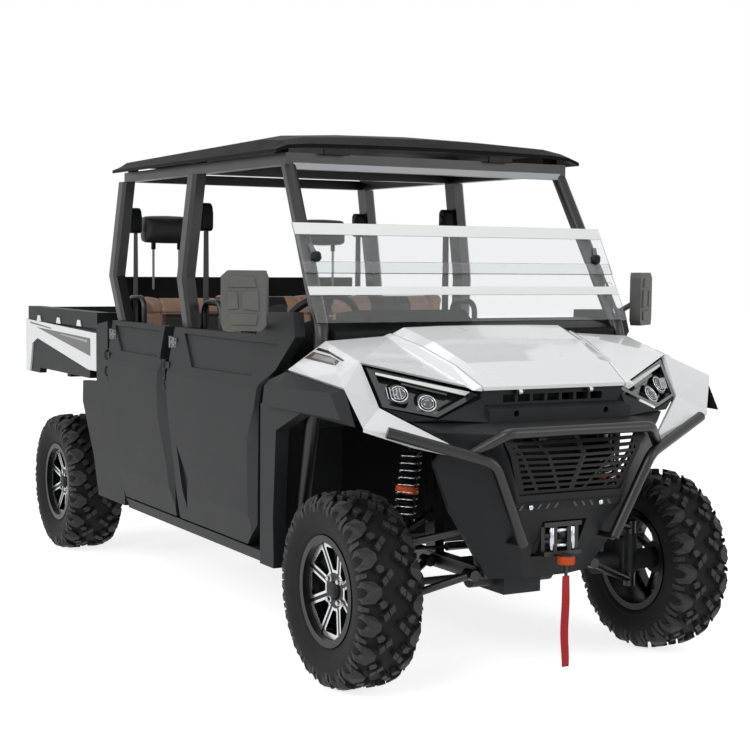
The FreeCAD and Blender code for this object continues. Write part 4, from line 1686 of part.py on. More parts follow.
def headrest_posts():
    """The left rear headrest's posts, from the seat back up into the headrest's underside."""
    x = FRONT_AXLE_X - HEADREST_BACK
    posts = []
    for y in (HEADREST_Y - HEADREST_WIDTH / 4, HEADREST_Y + HEADREST_WIDTH / 4):
        posts.append(rod(Vector(x, y, REAR_BACK_TOP_Z + SEAT_CLEARANCE),
                         Vector(x, y, HEADREST_Z - HEADREST_HEIGHT / 2 - SEAT_CLEARANCE), HEADREST_POST))
    return Part.makeCompound(posts)


def pillar_inner_y(z):
    """The inner face of a door pillar at a height above the kink."""
    share = (z - PILLAR_SHELF_Z) / (PILLAR_TOP_Z - PILLAR_SHELF_Z)
    return mix(PILLAR_SHELF_Y, PILLAR_TOP_Y, share) - PILLAR_WIDTH / 2


def retractor(top_back):
    """A left belt retractor on the inner face of a door pillar."""
    x = FRONT_AXLE_X - top_back
    y = pillar_inner_y(RETRACTOR_LOW_Z + RETRACTOR_HEIGHT) - SEAT_CLEARANCE
    return block((x - RETRACTOR_LENGTH / 2, y - RETRACTOR_WIDTH, RETRACTOR_LOW_Z),
                 (x + RETRACTOR_LENGTH / 2, y, RETRACTOR_LOW_Z + RETRACTOR_HEIGHT))


def belt(top_back):
    """A left belt, a flat strap from its retractor down to the seat's outer side."""
    x = FRONT_AXLE_X - top_back
    y = pillar_inner_y(RETRACTOR_LOW_Z + RETRACTOR_HEIGHT) - SEAT_CLEARANCE - RETRACTOR_WIDTH / 2
    return block((x - BELT_WIDTH / 2, y - BELT_THICKNESS / 2, BELT_LOW_Z),
                 (x + BELT_WIDTH / 2, y + BELT_THICKNESS / 2, RETRACTOR_LOW_Z - SEAT_CLEARANCE))


def hip_bar(front_back):
    """A left hip bar: a bent tube beside a seat, from the floor up and back down."""
    front = FRONT_AXLE_X - front_back - SEAT_LENGTH + HIP_BAR_LENGTH
    rear = front - HIP_BAR_LENGTH
    low = RAIL_TOP_Z + FLOOR_THICKNESS + 2 * SEAT_CLEARANCE
    points = [Vector(front, HIP_BAR_Y, low), Vector(front, HIP_BAR_Y, HIP_BAR_TOP_Z),
              Vector(rear, HIP_BAR_Y, HIP_BAR_TOP_Z), Vector(rear, HIP_BAR_Y, low)]
    return tube(points, 2 * HIP_BAR_DIAMETER, HIP_BAR_DIAMETER)


def screen_bands():
    """The two bright strips across the folded windscreen."""
    parts = []
    for z_low, z_high, sheet in BAND_EDGES:
        out = (1 + sheet) * (SCREEN_THICKNESS + SEAT_CLEARANCE)
        rows = []
        for depth in (0, BAND_THICKNESS):
            rows.append([screen_point(sy * SCREEN_HALF_WIDTH, z, out + depth)
                         for sy, z in ((-1, z_low), (1, z_low), (1, z_high), (-1, z_high))])
        parts.append(loft(rows))
    return Part.makeCompound(parts)


def radiator():
    """The radiator, a flat core against the front uprights."""
    x = FRONT_AXLE_X + ARM_MOUNT_SPREAD + UPRIGHT_SIZE / 2 + SEAT_CLEARANCE
    return block((x, -RADIATOR_HALF_WIDTH, RADIATOR_LOW_Z), (x + RADIATOR_DEPTH, RADIATOR_HALF_WIDTH, RADIATOR_HIGH_Z))


MIRROR_WIDTH = 165.0
MIRROR_HEIGHT = 216.0
MIRROR_DEPTH = 45.0
MIRROR_TURN = 35.0
MIRROR_OUTSET = 98.0
MIRROR_Y = DOOR_HALF_WIDTH + MIRROR_OUTSET
MIRROR_Z = 1335.0
MIRROR_BACK = 400.0
MIRROR_FOOT_BACK = 518.0
MIRROR_FOOT_Z = 1236.0
MIRROR_ARM_DIAMETER = 22.0
MIRROR_OUTLINE_SHARES = (
    (-1, -0.8), (-0.8, -1), (0.9, -1), (1, -0.7), (1, 0.8), (0.7, 1), (-0.9, 1), (-1, 0.8),
)


def mirror():
    """The left mirror: a rounded head turned a little inward, on an arm from the top of the front door."""
    half_w, half_h = MIRROR_WIDTH / 2, MIRROR_HEIGHT / 2
    turn = math.radians(MIRROR_TURN)
    across = Vector(-math.sin(turn), math.cos(turn), 0)
    facing = Vector(math.cos(turn), math.sin(turn), 0)
    centre = Vector(FRONT_AXLE_X - MIRROR_BACK, MIRROR_Y, MIRROR_Z)
    corners = [centre + across * (sx * half_w) + UP * (sz * half_h) for sx, sz in MIRROR_OUTLINE_SHARES]
    head = plate(corners, 0, facing * MIRROR_DEPTH)
    share = (MIRROR_FOOT_Z - DOOR_TOP_Z) / (DOOR_EAR_Z - DOOR_TOP_Z)
    foot_y = DOOR_HALF_WIDTH - mix(SIDE_INSETS[-2], SIDE_INSETS[-1], share)
    start = Vector(FRONT_AXLE_X - MIRROR_FOOT_BACK, foot_y + 2 * SEAT_CLEARANCE, MIRROR_FOOT_Z)
    stub = Vector(start.x, MIRROR_Y - half_w, MIRROR_FOOT_Z)
    arm = tube([start, stub, centre + facing * (MIRROR_DEPTH / 2)], COLUMN_DIAMETER / 2, MIRROR_ARM_DIAMETER)
    return head.fuse(arm).removeSplitter()



def build():
    """Makes every sub-part."""
    wheels()
    chassis()
    cage()
    roof()
    node("cab_floor", cab_floor())
    seats()
    node("dashboard", dashboard())
    node("windscreen", windscreen())
    node("steering_wheel", steering_wheel())
    node("rear_headrests", both_sides(headrest()))
    node("headrest_posts", both_sides(headrest_posts()))
    backs = (B_PILLAR_TOP_BACK, C_PILLAR_TOP_BACK)
    node("belt_retractors", Part.makeCompound([both_sides(retractor(back)) for back in backs]))
    node("seat_belts", Part.makeCompound([both_sides(belt(back)) for back in backs]))
    fronts = (FRONT_SEAT_FRONT_BACK, REAR_SEAT_FRONT_BACK)
    node("hip_bars", Part.makeCompound([both_sides(hip_bar(back)) for back in fronts]))
    node("windscreen_bands", screen_bands())
    node("radiator", radiator())
    node("tail_lamps", both_sides(tail_lamp()))
    doors()
    node("side_sills", both_sides(sill()))
    node("hood", hood())
    node("front_fenders", both_sides(front_fender()))
    node("front_flares", both_sides(flare()))
    node("headlamps", both_sides(headlamp()))
    node("nose_panel", nose_panel())
    node("bumper_cover", bumper_cover())
    node("grille", grille())
    node("bull_bar", bull_bar())
    node("winch", winch())
    node("hook_strap", hook_strap())
    node("knuckle_left", front_knuckle())
    node("knuckle_right", mirrored(front_knuckle()))
    shocks = []
    for name, axle_x, pin_y, top in (("front", FRONT_AXLE_X, KINGPIN_Y, FRONT_TOWER_TOP_Z),
                                     ("rear", REAR_AXLE_X, REAR_PIN_Y, REAR_TOWER_TOP_Z)):
        wishbones = [both_sides(arm) for arm in arms(axle_x, pin_y, top)]
        node(f"{name}_suspension_arms", Part.makeCompound(wishbones))
        shocks.append(both_sides(shock(axle_x, pin_y, top)))
    node("shock_absorbers", Part.makeCompound(shocks))
    node("rear_hub_carriers", both_sides(rear_carrier()))
    node("driveline", driveline())
    node("steering_rack", steering_rack())
    engine_rear = REAR_AXLE_X + ENGINE_REAR_AHEAD
    engine_low = RAIL_TOP_Z + SEAT_CLEARANCE
    node("engine_block", block((engine_rear, -ENGINE_WIDTH / 2, engine_low),
                               (engine_rear + ENGINE_LENGTH, ENGINE_WIDTH / 2, engine_low + ENGINE_HEIGHT)))
    muffler_x = REAR_AXLE_X - MUFFLER_BEHIND
    can = rod(Vector(muffler_x, -MUFFLER_HALF_LENGTH, MUFFLER_Z), Vector(muffler_x, MUFFLER_HALF_LENGTH, MUFFLER_Z),
              MUFFLER_DIAMETER)
    hangers = []
    for side in SIDES:
        y = side * MUFFLER_HALF_LENGTH / 2
        hangers.append(block((muffler_x - MUFFLER_BRACKET / 2, y - MUFFLER_BRACKET / 2, MUFFLER_Z),
                             (muffler_x + MUFFLER_BRACKET / 2, y + MUFFLER_BRACKET / 2,
                              REAR_TOWER_TOP_Z - UPRIGHT_SIZE - SEAT_CLEARANCE)))
    node("exhaust_muffler", fuse([can] + hangers))
    node("rear_quarter_panels", both_sides(quarter()))
    node("bed_tub", bed_tub())
    node("bed_side_panels", both_sides(bed_side_panel()))
    node("bed_fenders", both_sides(bed_fender()))
    node("tailgate", tailgate())
    node("tow_hitch", hitch())
    node("mirror_left", mirror())
    node("mirror_right", mirrored(mirror()))


build()
os.makedirs("parts", exist_ok=True)
for name, shape in NODES.items():
    shape.exportStep(os.path.join("parts", name + ".step"))
    print(name, len(shape.Solids), "solids", round(shape.Volume / 1e6, 3), "litres", shape.isValid())
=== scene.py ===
"""A crew side by side utility vehicle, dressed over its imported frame.

Metres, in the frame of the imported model: +X points forward, +Y to the vehicle's left, +Z up.
"""

import json
import logging
import math
from dataclasses import dataclass, field
from enum import Enum

import bmesh
import bpy
from mathutils import Matrix, Vector
from mathutils.bvhtree import BVHTree


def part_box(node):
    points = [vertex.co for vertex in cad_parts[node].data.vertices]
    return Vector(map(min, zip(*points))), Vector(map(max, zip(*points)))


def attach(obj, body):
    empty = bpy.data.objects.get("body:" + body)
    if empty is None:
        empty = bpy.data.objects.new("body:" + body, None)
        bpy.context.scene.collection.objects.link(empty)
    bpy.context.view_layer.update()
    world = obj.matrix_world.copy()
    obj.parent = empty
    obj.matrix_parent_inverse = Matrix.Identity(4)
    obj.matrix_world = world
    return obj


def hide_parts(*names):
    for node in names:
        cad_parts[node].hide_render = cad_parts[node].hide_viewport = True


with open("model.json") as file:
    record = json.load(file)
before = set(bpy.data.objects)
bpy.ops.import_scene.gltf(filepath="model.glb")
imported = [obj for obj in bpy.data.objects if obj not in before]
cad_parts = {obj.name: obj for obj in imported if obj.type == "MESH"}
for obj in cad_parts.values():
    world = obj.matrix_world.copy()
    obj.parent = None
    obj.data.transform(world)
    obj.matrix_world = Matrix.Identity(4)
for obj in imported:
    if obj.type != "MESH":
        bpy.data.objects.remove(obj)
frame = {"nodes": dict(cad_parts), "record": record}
LOG = logging.getLogger("utv")

LEFT = 1
RIGHT = -1
SIDES = ((LEFT, "left"), (RIGHT, "right"))
AXLES = ("front", "rear")
MILLIMETRE = 0.001
UPWARD = (0, 0, 1)
Socket = bpy.types.NodeSocket
SPOKE_TURN = math.radians(45)


# Helpers

def linear(colour: str) -> tuple[float, float, float, float]:
    """Turns an sRGB hex colour into linear light.

    Args:
        colour: six hex digits after a hash sign.

    Returns:
        Red, green, blue and an alpha of one.
    """
    parts = []
    for start in (1, 3, 5):
        value = int(colour[start:start + 2], 16) / 255
        parts.append(value / 12.92 if value <= 0.04045 else ((value + 0.055) / 1.055) ** 2.4)
    return (parts[0], parts[1], parts[2], 1.0)


def add(tree: bpy.types.NodeTree, kind: str, values: dict | None = None, links: dict | None = None,
        **settings: object) -> bpy.types.Node:
    """Adds one node with its settings, socket values and links.

    Args:
        tree: the node tree that takes the node.
        kind: the node's type name.
        values: default values by socket name or number.
        links: output sockets of other nodes, by the name or number of the socket they feed.
        settings: properties of the node itself.

    Returns:
        The new node.
    """
    node = tree.nodes.new(kind)
    for name, value in settings.items():
        setattr(node, name, value)
    for key, value in (values or {}).items():
        node.inputs[key].default_value = value
    for key, source in (links or {}).items():
        tree.links.new(source, node.inputs[key])
    return node


def empty_material(name: str) -> tuple[bpy.types.Material, bpy.types.NodeTree]:
    """Makes a material whose node tree holds nothing yet, and gives both."""
    material = bpy.data.materials.new(name)
    material.use_nodes = True
    material.node_tree.nodes.clear()
    return material, material.node_tree


def place_object(name: str, data: bpy.types.ID) -> bpy.types.Object:
    """Makes an object of a mesh, lamp or camera and links it to the scene."""
    made = bpy.data.objects.new(name, data)
    bpy.context.collection.objects.link(made)
    return made


def apply_modifiers(made: bpy.types.Object) -> None:
    """Replaces an object's mesh by what its modifiers give."""
    graph = bpy.context.evaluated_depsgraph_get()
    mesh = bpy.data.meshes.new_from_object(made.evaluated_get(graph), depsgraph=graph)
    made.modifiers.clear()
    made.data = mesh


def on_side(points: list, side: int) -> list[Vector]:
    """Gives points that were set out on the left, mirrored where the side is the right one."""
    return [Vector((point[0], side * point[1], point[2])) for point in points]


def ray_tree(node: str) -> BVHTree:
    """Gives a search tree over a node's faces."""
    mesh = frame["nodes"][node].data
    return BVHTree.FromPolygons([vertex.co for vertex in mesh.vertices],
                                [tuple(polygon.vertices) for polygon in mesh.polygons])


# Finishes

class Look(Enum):
    """Every finish on the vehicle, by the name of its material."""

    PLASTIC = "moulded_polypropylene"
    CABIN = "cabin_polypropylene"
    WHITE = "gloss_lacquer"
    TUBE = "powder_coat"
    TYRE = "vulcanised_rubber"
    TREAD = "scuffed_tread_rubber"
    GRIP = "soft_grip_rubber"
    WHEEL = "faced_aluminium"
    STEEL = "turned_steel"
    CASTING = "sand_cast_iron"
    DAMPER = "plated_damper_steel"
    SILENCER = "aluminised_sheet"
    SCREEN = "clear_polycarbonate"
    STRIP = "bright_film"
    LENS = "headlamp_acrylic"
    RED_LENS = "tail_lamp_acrylic"
    GRILLE = "grille_abs"
    STRAP = "red_polyester_webbing"
    BELT = "black_polyester_webbing"
    SEAT = "black_coated_cloth"
    SEAT_TAN = "tan_coated_cloth"
    CHROME = "plated_bezel"
    GLASS = "projector_glass"
    ORANGE = "orange_rubber"
    MIRROR_GLASS = "silvered_glass"
    GREY_FILM = "grey_film"
    BLACK_FILM = "black_film"
    BROWN_FILM = "brown_film"
    BOLT = "zinc_plated_bolt"
    ROOF = "grained_roof_polyethylene"
    SHELL = "grey_polypropylene"
    SPRING = "chromed_spring_wire"

    @property
    def material(self) -> bpy.types.Material:
        """The finish's material, once it is built."""
        return MATERIALS[self]


MATERIALS: dict[Look, bpy.types.Material] = {}


@dataclass
class Wiring:
    """A node tree in the making, with one short call for each node that the finishes share."""

    tree: bpy.types.NodeTree

    def __post_init__(self) -> None:
        """Adds the object coordinates, in metres, that every pattern is laid out in."""
        self.coordinates = add(self.tree, "ShaderNodeTexCoord")
        self.place = self.coordinates.outputs["Object"]

    def noise(self, scale: float, detail: float = 2.0, roughness: float = 0.5) -> Socket:
        """Adds a cloudy pattern with about so many clouds to the metre."""
        return add(self.tree, "ShaderNodeTexNoise", {"Scale": scale, "Detail": detail, "Roughness": roughness},
                   {"Vector": self.place}).outputs["Fac"]

    def grain(self, size_mm: float, feature: str) -> Socket:
        """Adds a pattern of cells of a size in millimetres."""
        return add(self.tree, "ShaderNodeTexVoronoi", {"Scale": 1 / (size_mm * MILLIMETRE)},
                   {"Vector": self.place}, feature=feature).outputs["Distance"]

    def wave(self, scale: float, direction: str) -> Socket:
        """Adds bands across one direction."""
        return add(self.tree, "ShaderNodeTexWave", {"Scale": scale}, {"Vector": self.place},
                   bands_direction=direction).outputs["Fac"]

    def bump(self, height: Socket, strength: float, distance: float) -> Socket:
        """Adds relief that is as deep as the distance, in metres, at full strength."""
        return add(self.tree, "ShaderNodeBump", {"Strength": strength, "Distance": distance},
                   {"Height": height}).outputs["Normal"]

    def spread(self, value: Socket, low: float, high: float) -> Socket:
        """Adds a map from a pattern onto a range of values."""
        return add(self.tree, "ShaderNodeMapRange", {"To Min": low, "To Max": high}, {"Value": value}).outputs["Result"]

    def tones(self, value: Socket, low: tuple[float, str], high: tuple[float, str]) -> Socket:
        """Adds a ramp between two colours, each given with its place on the pattern's range."""
        ramp = add(self.tree, "ShaderNodeValToRGB", links={"Fac": value})
        for element, (position, colour) in zip(ramp.color_ramp.elements, (low, high)):
            element.position = position
            element.color = linear(colour)
        return ramp.outputs["Color"]

    def math(self, operation: str, *terms: object) -> Socket:
        """Adds a sum of numbers and sockets."""
        numbers = {i: term for i, term in enumerate(terms) if isinstance(term, float)}
        sockets = {i: term for i, term in enumerate(terms) if not isinstance(term, float)}
        return add(self.tree, "ShaderNodeMath", numbers, sockets, operation=operation).outputs["Value"]

    def vector(self, operation: str, source: Socket, by: tuple = (0, 0, 0)) -> bpy.types.Node:
        """Adds a sum of a vector with a constant one."""
        return add(self.tree, "ShaderNodeVectorMath", {1: by}, {0: source}, operation=operation)

    def split(self, source: Socket) -> bpy.types.NodeOutputs:
        """Adds a node that takes a vector apart."""
        return add(self.tree, "ShaderNodeSeparateXYZ", links={"Vector": source}).outputs

    def surface(self, values: dict, links: dict) -> Socket:
        """Adds the shader of a surface."""
        return add(self.tree, "ShaderNodeBsdfPrincipled", values, links).outputs["BSDF"]

    def mix(self, share: Socket, first: Socket, second: Socket) -> Socket:
        """Adds a mix of two shaders."""
        return add(self.tree, "ShaderNodeMixShader", links={0: share, 1: first, 2: second}).outputs["Shader"]

    def seen(self) -> Socket:
        """Adds a switch that is on where the camera looks: straight, in a reflection or through glass."""
        path = add(self.tree, "ShaderNodeLightPath").outputs
        first = self.math("MAXIMUM", path["Is Camera Ray"], path["Is Glossy Ray"])
        return self.math("MAXIMUM", first, path["Is Transmission Ray"])


@dataclass(frozen=True)
class Finish:
    """What every finish shares: the look it gives, and a way to build its material."""

    look: Look

    def build(self) -> None:
        """Builds the finish's material and files it under its look."""
        MATERIALS[self.look], tree = empty_material(self.look.value)
        add(tree, "ShaderNodeOutputMaterial", links={"Surface": self.dress(Wiring(tree))})

    def dress(self, wiring: Wiring) -> Socket:
        """Fills the node tree and gives its last shader."""
        raise NotImplementedError


@dataclass(frozen=True)
class MouldedPolypropylene(Finish):
    """Polypropylene moulded in a grained tool, as on doors and flares: dark, with a dull soft gloss."""

    colour: str = "#1A1B1D"
    worn: str = "#222325"
    roughness: float = 0.52
    grain_mm: float = 1.6
    grain_height: float = 0.16
    ior: float = 1.49
    glance: float = 0.20

    def dress(self, wiring: Wiring) -> Socket:
        """Lays a mould grain over a faint cloud of wear."""
        # The real grain is about 0.6 mm wide; it is drawn coarser so that it shows at this distance.
        grain = wiring.grain(self.grain_mm, "SMOOTH_F1")
        cloud = wiring.noise(7.0, 5.0, 0.6)
        # The grain breaks up the mirror-like glance that a smooth plastic has.
        return wiring.surface({"IOR": self.ior, "Specular IOR Level": self.glance},
                              {"Base Color": wiring.tones(cloud, (0.32, self.colour), (0.78, self.worn)),
                               "Roughness": wiring.spread(cloud, self.roughness - 0.06, self.roughness + 0.08),
                               "Normal": wiring.bump(grain, self.grain_height, 0.0006)})


@dataclass(frozen=True)
class GlossLacquer(Finish):
    """Lacquered ABS body panel: bright white under a clear coat that mirrors the lamps."""

    colour: str = "#DFE1E2"
    ior: float = 1.5
    roughness: float = 0.28
    coat: float = 0.8
    coat_roughness: float = 0.06
    peel_mm: float = 4.0

    def dress(self, wiring: Wiring) -> Socket:
        """Lays a faint peel over a thin film of dust."""
        # Lacquer dries with a faint peel a few millimetres across.
        peel = wiring.bump(wiring.noise(1 / (self.peel_mm * MILLIMETRE), 1.0), 0.04, 0.0004)
        dust = wiring.noise(5.0, 6.0)
        return wiring.surface({"Base Color": linear(self.colour), "IOR": self.ior, "Coat Weight": self.coat,
                               "Coat Roughness": self.coat_roughness},
                              {"Roughness": wiring.spread(dust, self.roughness - 0.05, self.roughness + 0.07),
                               "Normal": peel, "Coat Normal": peel})


@dataclass(frozen=True)
class PowderCoat(Finish):
    """Polyester powder coat on steel tube: satin black with a faint orange peel."""

    colour: str = "#0E0E0F"
    roughness: float = 0.34
    peel_mm: float = 2.5
    ior: float = 1.5

    def dress(self, wiring: Wiring) -> Socket:
        """Lays an orange peel, with a dull cloud of dust."""
        peel = wiring.noise(1 / (self.peel_mm * MILLIMETRE), 2.0)
        dust = wiring.noise(9.0, 5.0)
        return wiring.surface({"Base Color": linear(self.colour), "IOR": self.ior},
                              {"Roughness": wiring.spread(dust, self.roughness - 0.06, self.roughness + 0.08),
                               "Normal": wiring.bump(peel, 0.14, 0.0004)})


@dataclass(frozen=True)
class VulcanisedRubber(Finish):
    """Carbon-black rubber from a mould: nearly black, dull, with a dusty bloom."""

    colour: str = "#0F0F10"
    bloom: str = "#19191A"
    roughness: float = 0.72
    ior: float = 1.52
    glance: float = 0.22
    pit_mm: float = 1.8

    def dress(self, wiring: Wiring) -> Socket:
        """Lays small pits under a dusty bloom."""
        cloud = wiring.noise(16.0, 8.0, 0.65)
        pits = wiring.noise(1 / (self.pit_mm * MILLIMETRE), 3.0)
        return wiring.surface({"IOR": self.ior, "Roughness": self.roughness, "Specular IOR Level": self.glance},
                              {"Base Color": wiring.tones(cloud, (0.38, self.colour), (0.72, self.bloom)),
                               "Normal": wiring.bump(pits, 0.22, 0.0008)})


@dataclass(frozen=True)
class FacedAluminium(Finish):
    """Cast aluminium wheel, painted black and then faced on a lathe, so that its outer faces are bright metal."""

    paint: str = "#0A0A0B"
    metal: str = "#C9CACC"
    metal_roughness: float = 0.24
    paint_roughness: float = 0.32
    cut_mm: float = 0.9
    diameter: float = 0.388
    spokes: int = 8
    groove_half: float = 0.0062
    faced_in: float = 0.062
    faced_out: float = 0.168

    def dress(self, wiring: Wiring) -> Socket:
        """Shows bare metal where the lathe has cut: on flat faces, between two radii, off each spoke's groove."""
        normal = add(wiring.tree, "ShaderNodeNewGeometry").outputs["True Normal"]
        sideways = wiring.math("ABSOLUTE", wiring.split(normal)["Y"])
        flat = add(wiring.tree, "ShaderNodeMapRange", {"From Min": 0.9, "From Max": 0.94}, {"Value": sideways})
        centred = wiring.vector("ADD", wiring.coordinates.outputs["Generated"], (-0.5, -0.5, -0.5))
        sized = wiring.vector("MULTIPLY", centred.outputs["Vector"], (self.diameter, 0, self.diameter))
        radius = wiring.vector("LENGTH", sized.outputs["Vector"]).outputs["Value"]
        parts = wiring.split(sized.outputs["Vector"])
        # The turn is folded into one spoke, then measured across it.
        half_step = math.pi / self.spokes
        shifted = wiring.math("ADD", wiring.math("ARCTAN2", parts["Z"], parts["X"]), half_step)
        sine = wiring.math("SINE", wiring.math("WRAP", shifted, half_step, -half_step))
        away = wiring.math("ABSOLUTE", wiring.math("MULTIPLY", sine, radius))
        faced = wiring.math("MULTIPLY", wiring.math("GREATER_THAN", away, self.groove_half),
                            wiring.math("LESS_THAN", radius, self.faced_out))
        faced = wiring.math("MULTIPLY", faced, wiring.math("GREATER_THAN", radius, self.faced_in))
        faced = wiring.math("MULTIPLY", faced, flat.outputs["Result"])
        # The lathe leaves circular tool marks about a millimetre apart.
        marks = wiring.bump(wiring.noise(1 / (self.cut_mm * MILLIMETRE), 1.0), 0.06, 0.0003)
        paint = wiring.surface({"Base Color": linear(self.paint), "Roughness": self.paint_roughness, "IOR": 1.5,
                                "Specular IOR Level": 0.25}, {"Normal": marks})
        metal = wiring.surface({"Base Color": linear(self.metal), "Roughness": self.metal_roughness,
                                "Metallic": 1.0}, {"Normal": marks})
        return wiring.mix(faced, paint, metal)


@dataclass(frozen=True)
class BareMetal(Finish):
    """Plated or machined steel: grey metal with fine directional wear."""

    colour: str = "#8C8D8F"
    roughness: float = 0.34
    wear_mm: float = 5.0

    def dress(self, wiring: Wiring) -> Socket:
        """Lays wear that shows in the gloss and in a slight relief."""
        wear = wiring.noise(1 / (self.wear_mm * MILLIMETRE), 4.0)
        return wiring.surface({"Base Color": linear(self.colour), "Metallic": 1.0},
                              {"Roughness": wiring.spread(wear, self.roughness - 0.1, self.roughness + 0.12),
                               "Normal": wiring.bump(wear, 0.1, 0.0003)})


@dataclass(frozen=True)
class SandCasting(Finish):
    """Sand-cast iron, unpainted: dark, dull and grainy."""

    colour: str = "#2E2F31"
    roughness: float = 0.62
    sand_mm: float = 1.5

    def dress(self, wiring: Wiring) -> Socket:
        """Lays the print of the sand."""
        sand = wiring.noise(1 / (self.sand_mm * MILLIMETRE), 4.0)
        return wiring.surface({"Base Color": linear(self.colour), "Roughness": self.roughness, "Metallic": 0.6},
                              {"Normal": wiring.bump(sand, 0.4, 0.0008)})


@dataclass(frozen=True)
class ClearPolycarbonate(Finish):
    """Hard-coated polycarbonate sheet: clear, with sharp reflections."""

    colour: str = "#EDF0F1"
    ior: float = 1.58
    roughness: float = 0.02
    glance: float = 0.2

    def dress(self, wiring: Wiring) -> Socket:
        """Lays the slight waviness of a bent sheet."""
        return wiring.surface({"Base Color": linear(self.colour), "Roughness": self.roughness, "IOR": self.ior,
                               "Specular IOR Level": self.glance, "Transmission Weight": 1.0},
                              {"Normal": wiring.bump(wiring.noise(3.0, 1.0), 0.02, 0.001)})


@dataclass(frozen=True)
class TintedLens(Finish):
    """Moulded acrylic lens over a dark housing: deep tint under a hard gloss."""

    colour: str = "#16181B"
    roughness: float = 0.12
    ior: float = 1.49
    coat: float = 1.0
    flute_mm: float = 9.0

    def dress(self, wiring: Wiring) -> Socket:
        """Lays shallow flutes."""
        flutes = wiring.wave(1 / (self.flute_mm * MILLIMETRE) / 20, "Y")
        return wiring.surface({"Base Color": linear(self.colour), "Roughness": self.roughness, "IOR": self.ior,
                               "Coat Weight": self.coat, "Coat Roughness": 0.03},
                              {"Normal": wiring.bump(flutes, 0.1, 0.0006)})


@dataclass(frozen=True)
class WovenWebbing(Finish):
    """Polyester webbing: a tight plain weave with a soft sheen."""

    colour: str = "#1A1A1B"
    light: str = "#2A2A2B"
    thread_mm: float = 1.6
    roughness: float = 0.75

    def dress(self, wiring: Wiring) -> Socket:
        """Crosses two sets of threads."""
        # Threads are near a millimetre across; the pattern turns once in 20 units of a wave's scale.
        scale = 2 * math.pi / (self.thread_mm * MILLIMETRE) / 20
        weave = wiring.math("MULTIPLY", wiring.wave(scale, "Z"), wiring.wave(scale, "Y"))
        tone = add(wiring.tree, "ShaderNodeMix", {6: linear(self.colour), 7: linear(self.light)}, {0: weave},
                   data_type="RGBA")
        return wiring.surface({"Roughness": self.roughness, "Sheen Weight": 0.2},
                              {"Base Color": tone.outputs[2], "Normal": wiring.bump(weave, 0.4, 0.0006)})


@dataclass(frozen=True)
class CoatedSeatCloth(Finish):
    """Vinyl-coated seat cloth: fine leather grain and a soft gloss, black, with tan wings and shoulders."""

    colour: str = "#1E1D1D"
    grain_mm: float = 2.2
    roughness: float = 0.5
    ior: float = 1.46

    def dress(self, wiring: Wiring) -> Socket:
        """Lays a leather grain."""
        # Leather grain is near a millimetre; it is drawn at twice that so that it shows.
        grain = wiring.grain(self.grain_mm, "DISTANCE_TO_EDGE")
        fade = wiring.noise(6.0, 6.0)
        return wiring.surface({"Base Color": linear(self.colour), "IOR": self.ior, "Sheen Weight": 0.1},
                              {"Roughness": wiring.spread(fade, self.roughness - 0.08, self.roughness + 0.12),
                               "Normal": wiring.bump(grain, 0.3, 0.0006)})


FINISHES = (
    MouldedPolypropylene(Look.PLASTIC),
    MouldedPolypropylene(Look.CABIN, colour="#0F1011", worn="#151617", grain_mm=1.2, glance=0.12),
    GlossLacquer(Look.WHITE),
    PowderCoat(Look.TUBE),
    VulcanisedRubber(Look.TYRE, colour="#0A0A0B", bloom="#131314"),
    VulcanisedRubber(Look.TREAD, colour="#171718", bloom="#262627", roughness=0.62, glance=0.4),
    VulcanisedRubber(Look.GRIP, colour="#18181A", bloom="#1F1F21", roughness=0.55),
    FacedAluminium(Look.WHEEL),
    BareMetal(Look.STEEL, colour="#6E6F72"),
    SandCasting(Look.CASTING),
    BareMetal(Look.DAMPER, colour="#2A2A2C", roughness=0.4),
    BareMetal(Look.SILENCER, colour="#7A766F", roughness=0.42, wear_mm=12.0),
    ClearPolycarbonate(Look.SCREEN),
    GlossLacquer(Look.STRIP, colour="#E9EAEA", roughness=0.3, coat=0.5),
    TintedLens(Look.LENS, colour="#1B1C1E"),
    TintedLens(Look.RED_LENS, colour="#8E0F12"),
    MouldedPolypropylene(Look.GRILLE, colour="#0F0F10", worn="#151516", roughness=0.42, grain_mm=1.0),
    WovenWebbing(Look.STRAP, colour="#A11316", light="#C81D20"),
    WovenWebbing(Look.BELT),
    CoatedSeatCloth(Look.SEAT),
    CoatedSeatCloth(Look.SEAT_TAN, colour="#A98873"),
    BareMetal(Look.CHROME, colour="#B9BCC0", roughness=0.16),
    TintedLens(Look.GLASS, colour="#43484D", roughness=0.05),
    VulcanisedRubber(Look.ORANGE, colour="#C8460E", bloom="#DB5A1C", roughness=0.5),
    BareMetal(Look.MIRROR_GLASS, colour="#D5D8DA", roughness=0.03, wear_mm=60.0),
    GlossLacquer(Look.GREY_FILM, colour="#8E9193", roughness=0.34, coat=0.4),
    GlossLacquer(Look.BLACK_FILM, colour="#141415", roughness=0.36, coat=0.4),
    GlossLacquer(Look.BROWN_FILM, colour="#5B4B43", roughness=0.36, coat=0.4),
    BareMetal(Look.BOLT, colour="#6A6C6F", roughness=0.46),
    MouldedPolypropylene(Look.ROOF, colour="#0B0B0C", worn="#101011", glance=0.06),
    MouldedPolypropylene(Look.SHELL, colour="#555552", worn="#62625F", glance=0.3),
    BareMetal(Look.SPRING, colour="#A9ABAE", roughness=0.2),
)

